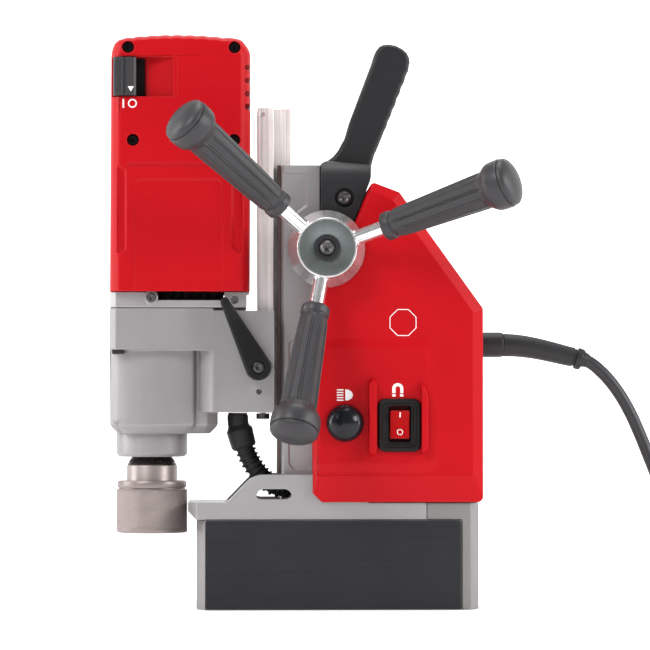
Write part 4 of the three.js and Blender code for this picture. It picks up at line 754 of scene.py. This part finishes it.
clip = box("lamp_clip", -151.6, -144.0, -36.2, -22, 171.2, 174); boolean(clip, [box("c", -148.4, -147.0, -38, -34.8, 170, 173)])
soften(clip, .4, 2); dress(clip, "rubber", "drill_unit")
# dark sheet standing in for the shade inside the air gap between motor and gear plate (painted shade)
gap_shade = prism("gap_shade_sheet", arc_corners(rect(-121.0, -77, -27, 27), 4, 5), "z", 207.6, 212.4); boolean(gap_shade, [cyl("c", "z", (-108, 0), 5.4, 200, 220, 48)])
boolean(gap_shade, [box("c", -119 + 6.2 * k, -116 + 6.2 * k, -29, -24, 206, 214) for k in range(7)])
soften(gap_shade, .3, 2); dress(gap_shade, "dark", "drill_unit")

# ------------------------------------------------- arbor holder and sleeve
SPX = -125.5
ab = turned("arbor", [(9.55, 51.2), (9.9, 50.8), (10.4, 50.6), (16.9, 50.6), (17.2, 51), (17.2, 95.7), (17.0, 96.1), (16.6, 96.3), (12.4, 96.3), (12.4, 99.8), (0.3, 99.8), (0.3, 88), (9.55, 88), (9.55, 51.2)], (SPX, 0, 0), (0, 0, 1), 96)
smooth(ab, 30); dress(ab, "satin", "spindle", ["arbor_body"])
def sleeve():
    prof = [(17.6, 85.9), (17.6, 50.5), (22.6, 50.5), (23.6, 50.9), (24.0, 51.7), (24.05, 53.2)]
    z0, z1, n = 53.6, 79.2, 130
    prof += [(23.55, z0 + (z1 - z0) * i / n) for i in range(n + 1)]
    prof += [(24.05, 79.6), (23.6, 80.2), (22.5, 80.3), (22.4, 81.0), (23.3, 81.2), (23.55, 81.9), (23.55, 84.6), (23.0, 85.7), (22.2, 85.9), (17.6, 85.9)]
    K = 62
    def shape(t, h, r):
        if not (z0 - .01 <= h <= z1 + .01) or r < 20: return r
        a, b = t * K / (2 * math.pi) * 1.0, (h - z0) / 1.6
        u, v = (a + b) % 1, (a - b) % 1
        d = min(min(u, 1 - u), min(v, 1 - v)) * 2
        return r - .02 + .34 * min(1, d * 1.6)
    s = turned("sleeve_v", prof, (SPX, 0, 0), (0, 0, 1), K * 8, shape); smooth(s, 30); return s
dress(sleeve(), "sleeve", "sleeve", ["knurled_sleeve"])
cone = turned("spindle_cone", [(12.6, 101.9), (13.3, 101.9), (13.7, 101.5), (15.4, 99.4), (16.6, 96.9), (16.5, 96.4), (12.6, 96.4), (12.6, 101.9)], (SPX, 0, 0), (0, 0, 1), 96)
smooth(cone, 30); dress(cone, "oxide", "spindle", ())
for n in ("spindle_shaft", "spindle_gear", "idler_gear", "spindle_bearing"): keep(n, "silver")
keep("armature", "lamination"); keep("stator", "lamination")

# ----------------------------------------------------------- clamp lever
def lever():
    LX, LZ, tx, tz = -53.7, 162, -76.3, 206
    a = math.atan2(tz - LZ, tx - LX); L = math.dist((LX, LZ), (tx, tz))
    def out(ins):
        r1, r2 = 8.6 - ins, 2.9 - ins; p = []
        for i in range(25):
            t = a + math.pi / 2 + .12 + i / 24 * (math.pi - .24); p.append((LX + r1 * math.cos(t), LZ + r1 * math.sin(t)))
        for i in range(13):
            t = a - math.pi / 2 + .12 + i / 12 * (math.pi - .24); p.append((LX + L * math.cos(a) + r2 * math.cos(t), LZ + L * math.sin(a) + r2 * math.sin(t)))
        return p
    s = layered("lever_arm", "y", [(-52, out(1.5)), (-51.7, out(.9)), (-51.1, out(.35)), (-50.2, out(0)), (-46, out(0)), (-44.8, out(.5)), (-44.5, out(1.2))])
    boolean(s, [turned("h", [(8.4, 38.4), (8.4, 46)], (LX, 0, LZ), (0, -1, 0), 64)], "UNION")
    boolean(s, [turned("c", [(4.3, 48.6), (4.3, 51.4), (5.0, 52.2), (5, 60)], (LX, 0, LZ), (0, -1, 0), 48), cyl("c", "y", (LX, LZ), 2.3, -60, -30, 32)])
    ux, uz = math.cos(a), math.sin(a)
    for k in range(5):
        d = L - 5 - 2.1 * k
        cx, cz = LX + ux * d, LZ + uz * d
        q = [(cx - uz * 6 - ux * .45, cz + ux * 6 - uz * .45), (cx - uz * 6 + ux * .45, cz + ux * 6 + uz * .45), (cx + uz * 6 + ux * .45, cz - ux * 6 + uz * .45), (cx + uz * 6 - ux * .45, cz - ux * 6 - uz * .45)]
        boolean(s, [prism("g", q, "y", -53, -51.45)])
    tidy(s); soften(s, .3, 2, 34); return s
dress(lever(), "lever", "lever", ["clamp_lever"])
cap_screw("lever_bolt", (-53.7, -48.8, 162), (0, -1, 0), 3.75, 2.7, 1.7, 1.9, "lever", mat="screw", replaces=["lever_screw"], shank=[(2.0, -22.8), (2.0, 0)])

# -------------------------------------------------------- motor lead conduit
line, _ = spline([(-67.2, 0, 131.8), (-67.2, 0, 127.5), (-66.6, 0, 122.5), (-65.0, 0, 116), (-62.7, 0, 108.0)], 40)
rad = []
for i in range(40):
    t = i / 39
    rad.append(6.6 if t < 0.06 else 7.15 if t < .36 else 7.15 + (t - .36) / .13 * 1.9 if t < .49 else 9.05 - 0.6 * (t - .49) / .51 if t < .965 else 7.9)
cb = sweep("conduit_sleeve", line, rad, 40); smooth(cb, 40); dress(cb, "rubber", "drill_unit", ["conduit_boot"])
CPATH = [(-65.2, 0, 116.8), (-64.1, 0, 112.6), (-62.8, 0, 108.6), (-58.8, 0, 99.6), (-53.4, 0, 91.6), (-47.7, 0, 85.8), (-41, 0, 81.7), (-33, 0, 80.2), (-20, 0, 80.2)]
line, clen = spline(CPATH, 420)
q = np.linspace(0, clen, 420)
ribs = [5.9 + 1.25 * min(1, max(0, 1.6 * math.sin(2 * math.pi * s / 3.75) + 0.25)) for s in q]
cd = sweep("conduit_v", line, ribs, 40); smooth(cd, 50)
cd.data.materials.clear(); cd.data.materials.append(M["hose"])
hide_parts("flex_conduit")
CONDUIT = cd

for n, mt in (("magnet_coil", "copper"), ("coil_potting", "resin")): keep(n, mt)

# ---------------------------------------------------------- printed marks
def mark(name, outlines, y, body, mat="white", t=0.09, sub=()):
    obs = []
    for pts in outlines:
        obs.append(prism("m", pts, "y", y - t, y + 0.25))
    o = obs[0]
    if len(obs) > 1:
        bm = bmesh.new()
        for b in obs: bm.from_mesh(b.data)
        bm.to_mesh(o.data); bm.free()
        for b in obs[1:]: drop(b)
    if sub: boolean(o, list(sub))
    o.name = name
    smooth(o, 30); dress(o, mat, body); return o
def ring_mark(name, cx, cz, r0, r1, y, body):
    o = prism("m", circle(cx, cz, r1, 48), "y", y - .09, y + .25); boolean(o, [cyl("c", "y", (cx, cz), r0, y - 2, y + 2, 48)])
    o.name = name; smooth(o, 30); dress(o, "white", body); return o
mark("mark_on", [rect(-144.6, -143.5, 335.5, 341.5)], -45, "drill_unit")
ring_mark("mark_off", -138.0, 338.5, 2.1, 3.0, -45, "drill_unit")
mark("mark_arrow", [[(-141.1, 349.6), (-136.9, 349.6), (-139.0, 346.2)]], -48.2, "power_slider")
mark("mark_lamp", [[(4.2, 139.9), (6.6, 140.2), (8.6, 141.6), (9.4, 143.6), (8.6, 145.7), (6.6, 147.1), (4.2, 147.5)]] + [rect(-1.4, 3.0, 139.8 + 1.72 * k, 140.6 + 1.72 * k) for k in range(5)], -47.1, "stand")
U = [(36.0, 144.9)] + [(39.3 + 3.7 * math.cos(t), 147.9 + 3.7 * math.sin(t)) for t in np.linspace(math.pi, 0, 13)] + [(43.0, 144.9), (41.0, 144.9)] + [(39.4 + 1.6 * math.cos(t), 147.9 + 1.6 * math.sin(t)) for t in np.linspace(0, math.pi, 9)] + [(37.8, 144.9)]
U[0] = (35.6, 144.9); U[14] = (43.0, 144.9)
mark("mark_magnet", [U, rect(35.6, 37.8, 142.6, 144.2), rect(40.8, 43.0, 142.6, 144.2)], -47.1, "stand")
oc = circle(42.9, 192.1, 9.7, 8, math.pi / 8)
om = prism("mark_stop", oc, "y", -46.09, -45.8); boolean(om, [prism("c", circle(42.9, 192.1, 9.15, 8, math.pi / 8), "y", -50, -40)]); dress(om, "white", "stand")
def rock_mark(name, pts, hole=None):
    o = prism("m", pts, "y", -60, -40)
    if hole: boolean(o, [prism("c", hole, "y", -65, -35)])
    face = rocker(); face.scale = (1, 1, 1)
    shell = face.data.copy()
    bm = bmesh.new(); bm.from_mesh(shell)
    bmesh.ops.translate(bm, verts=bm.verts, vec=(0, -0.00008, 0)); bm.to_mesh(shell); bm.free()
    face.data = shell
    boolean(o, [face], "INTERSECT")
    boolean(o, [rocker_cut()])
    o.name = name; dress(o, "white", "rocker"); return o
def rocker_cut():
    f = rocker(); f.data.transform(Matrix.Translation((0, 0.0004, 0))); return f
rock_mark("mark_rocker_on", rect(40.2, 41.1, 128.6, 132.0))
rock_mark("mark_rocker_off", circle(40.7, 118.9, 2.05, 40), circle(40.7, 118.9, 1.5, 40))

# ---------------------------------------------------------- conduit halves
def split(o, x_cut):
    """two halves of the conduit, cut at a plane"""
    parts = []
    for keep_low in (True, False):
        me = o.data.copy(); bm = bmesh.new(); bm.from_mesh(me)
        bmesh.ops.bisect_plane(bm, geom=bm.verts[:] + bm.edges[:] + bm.faces[:], plane_co=(x_cut[0] * MM, 0, x_cut[1] * MM), plane_no=x_cut[2], clear_outer=keep_low, clear_inner=not keep_low)
        bm.to_mesh(me); bm.free(); parts.append(me)
    return parts
upper_me, lower_me = split(CONDUIT, (-62.8, 108.6, (0.33, 0, -0.944)))
up = put("conduit_upper", upper_me); lo = CONDUIT; lo.data = lower_me; lo.name = "conduit_lower"
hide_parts("flex_conduit")
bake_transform(lo)
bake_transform(up)

# ------------------------------------------------------ floor and light
def stage_material(name, base, glow, rough):
    m = bpy.data.materials.new(name); m.use_nodes = True
    nt = m.node_tree; b = nt.nodes["Principled BSDF"]
    b.inputs["Base Color"].default_value = (base, base, base, 1); b.inputs["Roughness"].default_value = rough; b.inputs["Specular IOR Level"].default_value = 0.1
    b.inputs["Emission Color"].default_value = (1, 1, 1, 1); b.inputs["Emission Strength"].default_value = glow
    nz = nt.nodes.new("ShaderNodeTexNoise"); nz.inputs["Scale"].default_value = 40
    bp_ = nt.nodes.new("ShaderNodeBump"); bp_.inputs["Strength"].default_value = 0.01
    nt.links.new(nz.outputs[0], bp_.inputs["Height"]); nt.links.new(bp_.outputs[0], b.inputs["Normal"])
    return m
S = 6
fl_me = bpy.data.meshes.new("floor")
fl_me.from_pydata([(-S, -S, -0.0002), (S, -S, -0.0002), (S, 3.2, -0.0002), (-S, 3.2, -0.0002)], [], [(0, 1, 2, 3)])
floor = put("floor", fl_me); floor.data.materials.append(stage_material("studio_floor", 0.90, 0.30, 0.8))
bd_me = bpy.data.meshes.new("backdrop")
bd_me.from_pydata([(-S, 3.2, -0.1), (S, 3.2, -0.1), (S, 3.2, 4), (-S, 3.2, 4)], [], [(0, 1, 2, 3)])
drop_o = put("backdrop", bd_me); drop_o.data.materials.append(stage_material("studio_backdrop", 0.8, 0.95, 0.9))

def lamp(name, loc, aim, size, power, size_y=None, color=(1, 1, 1)):
    l = bpy.data.lights.new(name, "AREA"); l.energy = power; l.shape = "RECTANGLE"; l.size = size; l.size_y = size_y or size; l.color = color
    o = bpy.data.objects.new(name, l); scene.collection.objects.link(o)
    o.location = loc; o.rotation_euler = (Vector(aim) - Vector(loc)).to_track_quat("-Z", "Y").to_euler()
    return o
lamp("key", (-1.5, -1.9, 2.0), (0, 0, 0.2), 1.0, 46)
lamp("fill", (2.1, -1.2, 1.1), (0, 0, 0.2), 0.9, 34)
lamp("top", (0.1, 0.2, 2.3), (0, 0, 0.1), 1.4, 30)
lamp("side_left", (-1.9, 0.1, 0.7), (0, 0, 0.2), 0.5, 22, 1.5)
lamp("side_right", (1.9, -0.1, 0.6), (0, 0, 0.15), 0.4, 12, 1.4)
w = bpy.data.worlds.new("studio"); scene.world = w; w.use_nodes = True
bg = w.node_tree.nodes["Background"]; bg.inputs[0].default_value = (1, 1, 1, 1); bg.inputs[1].default_value = 0.24
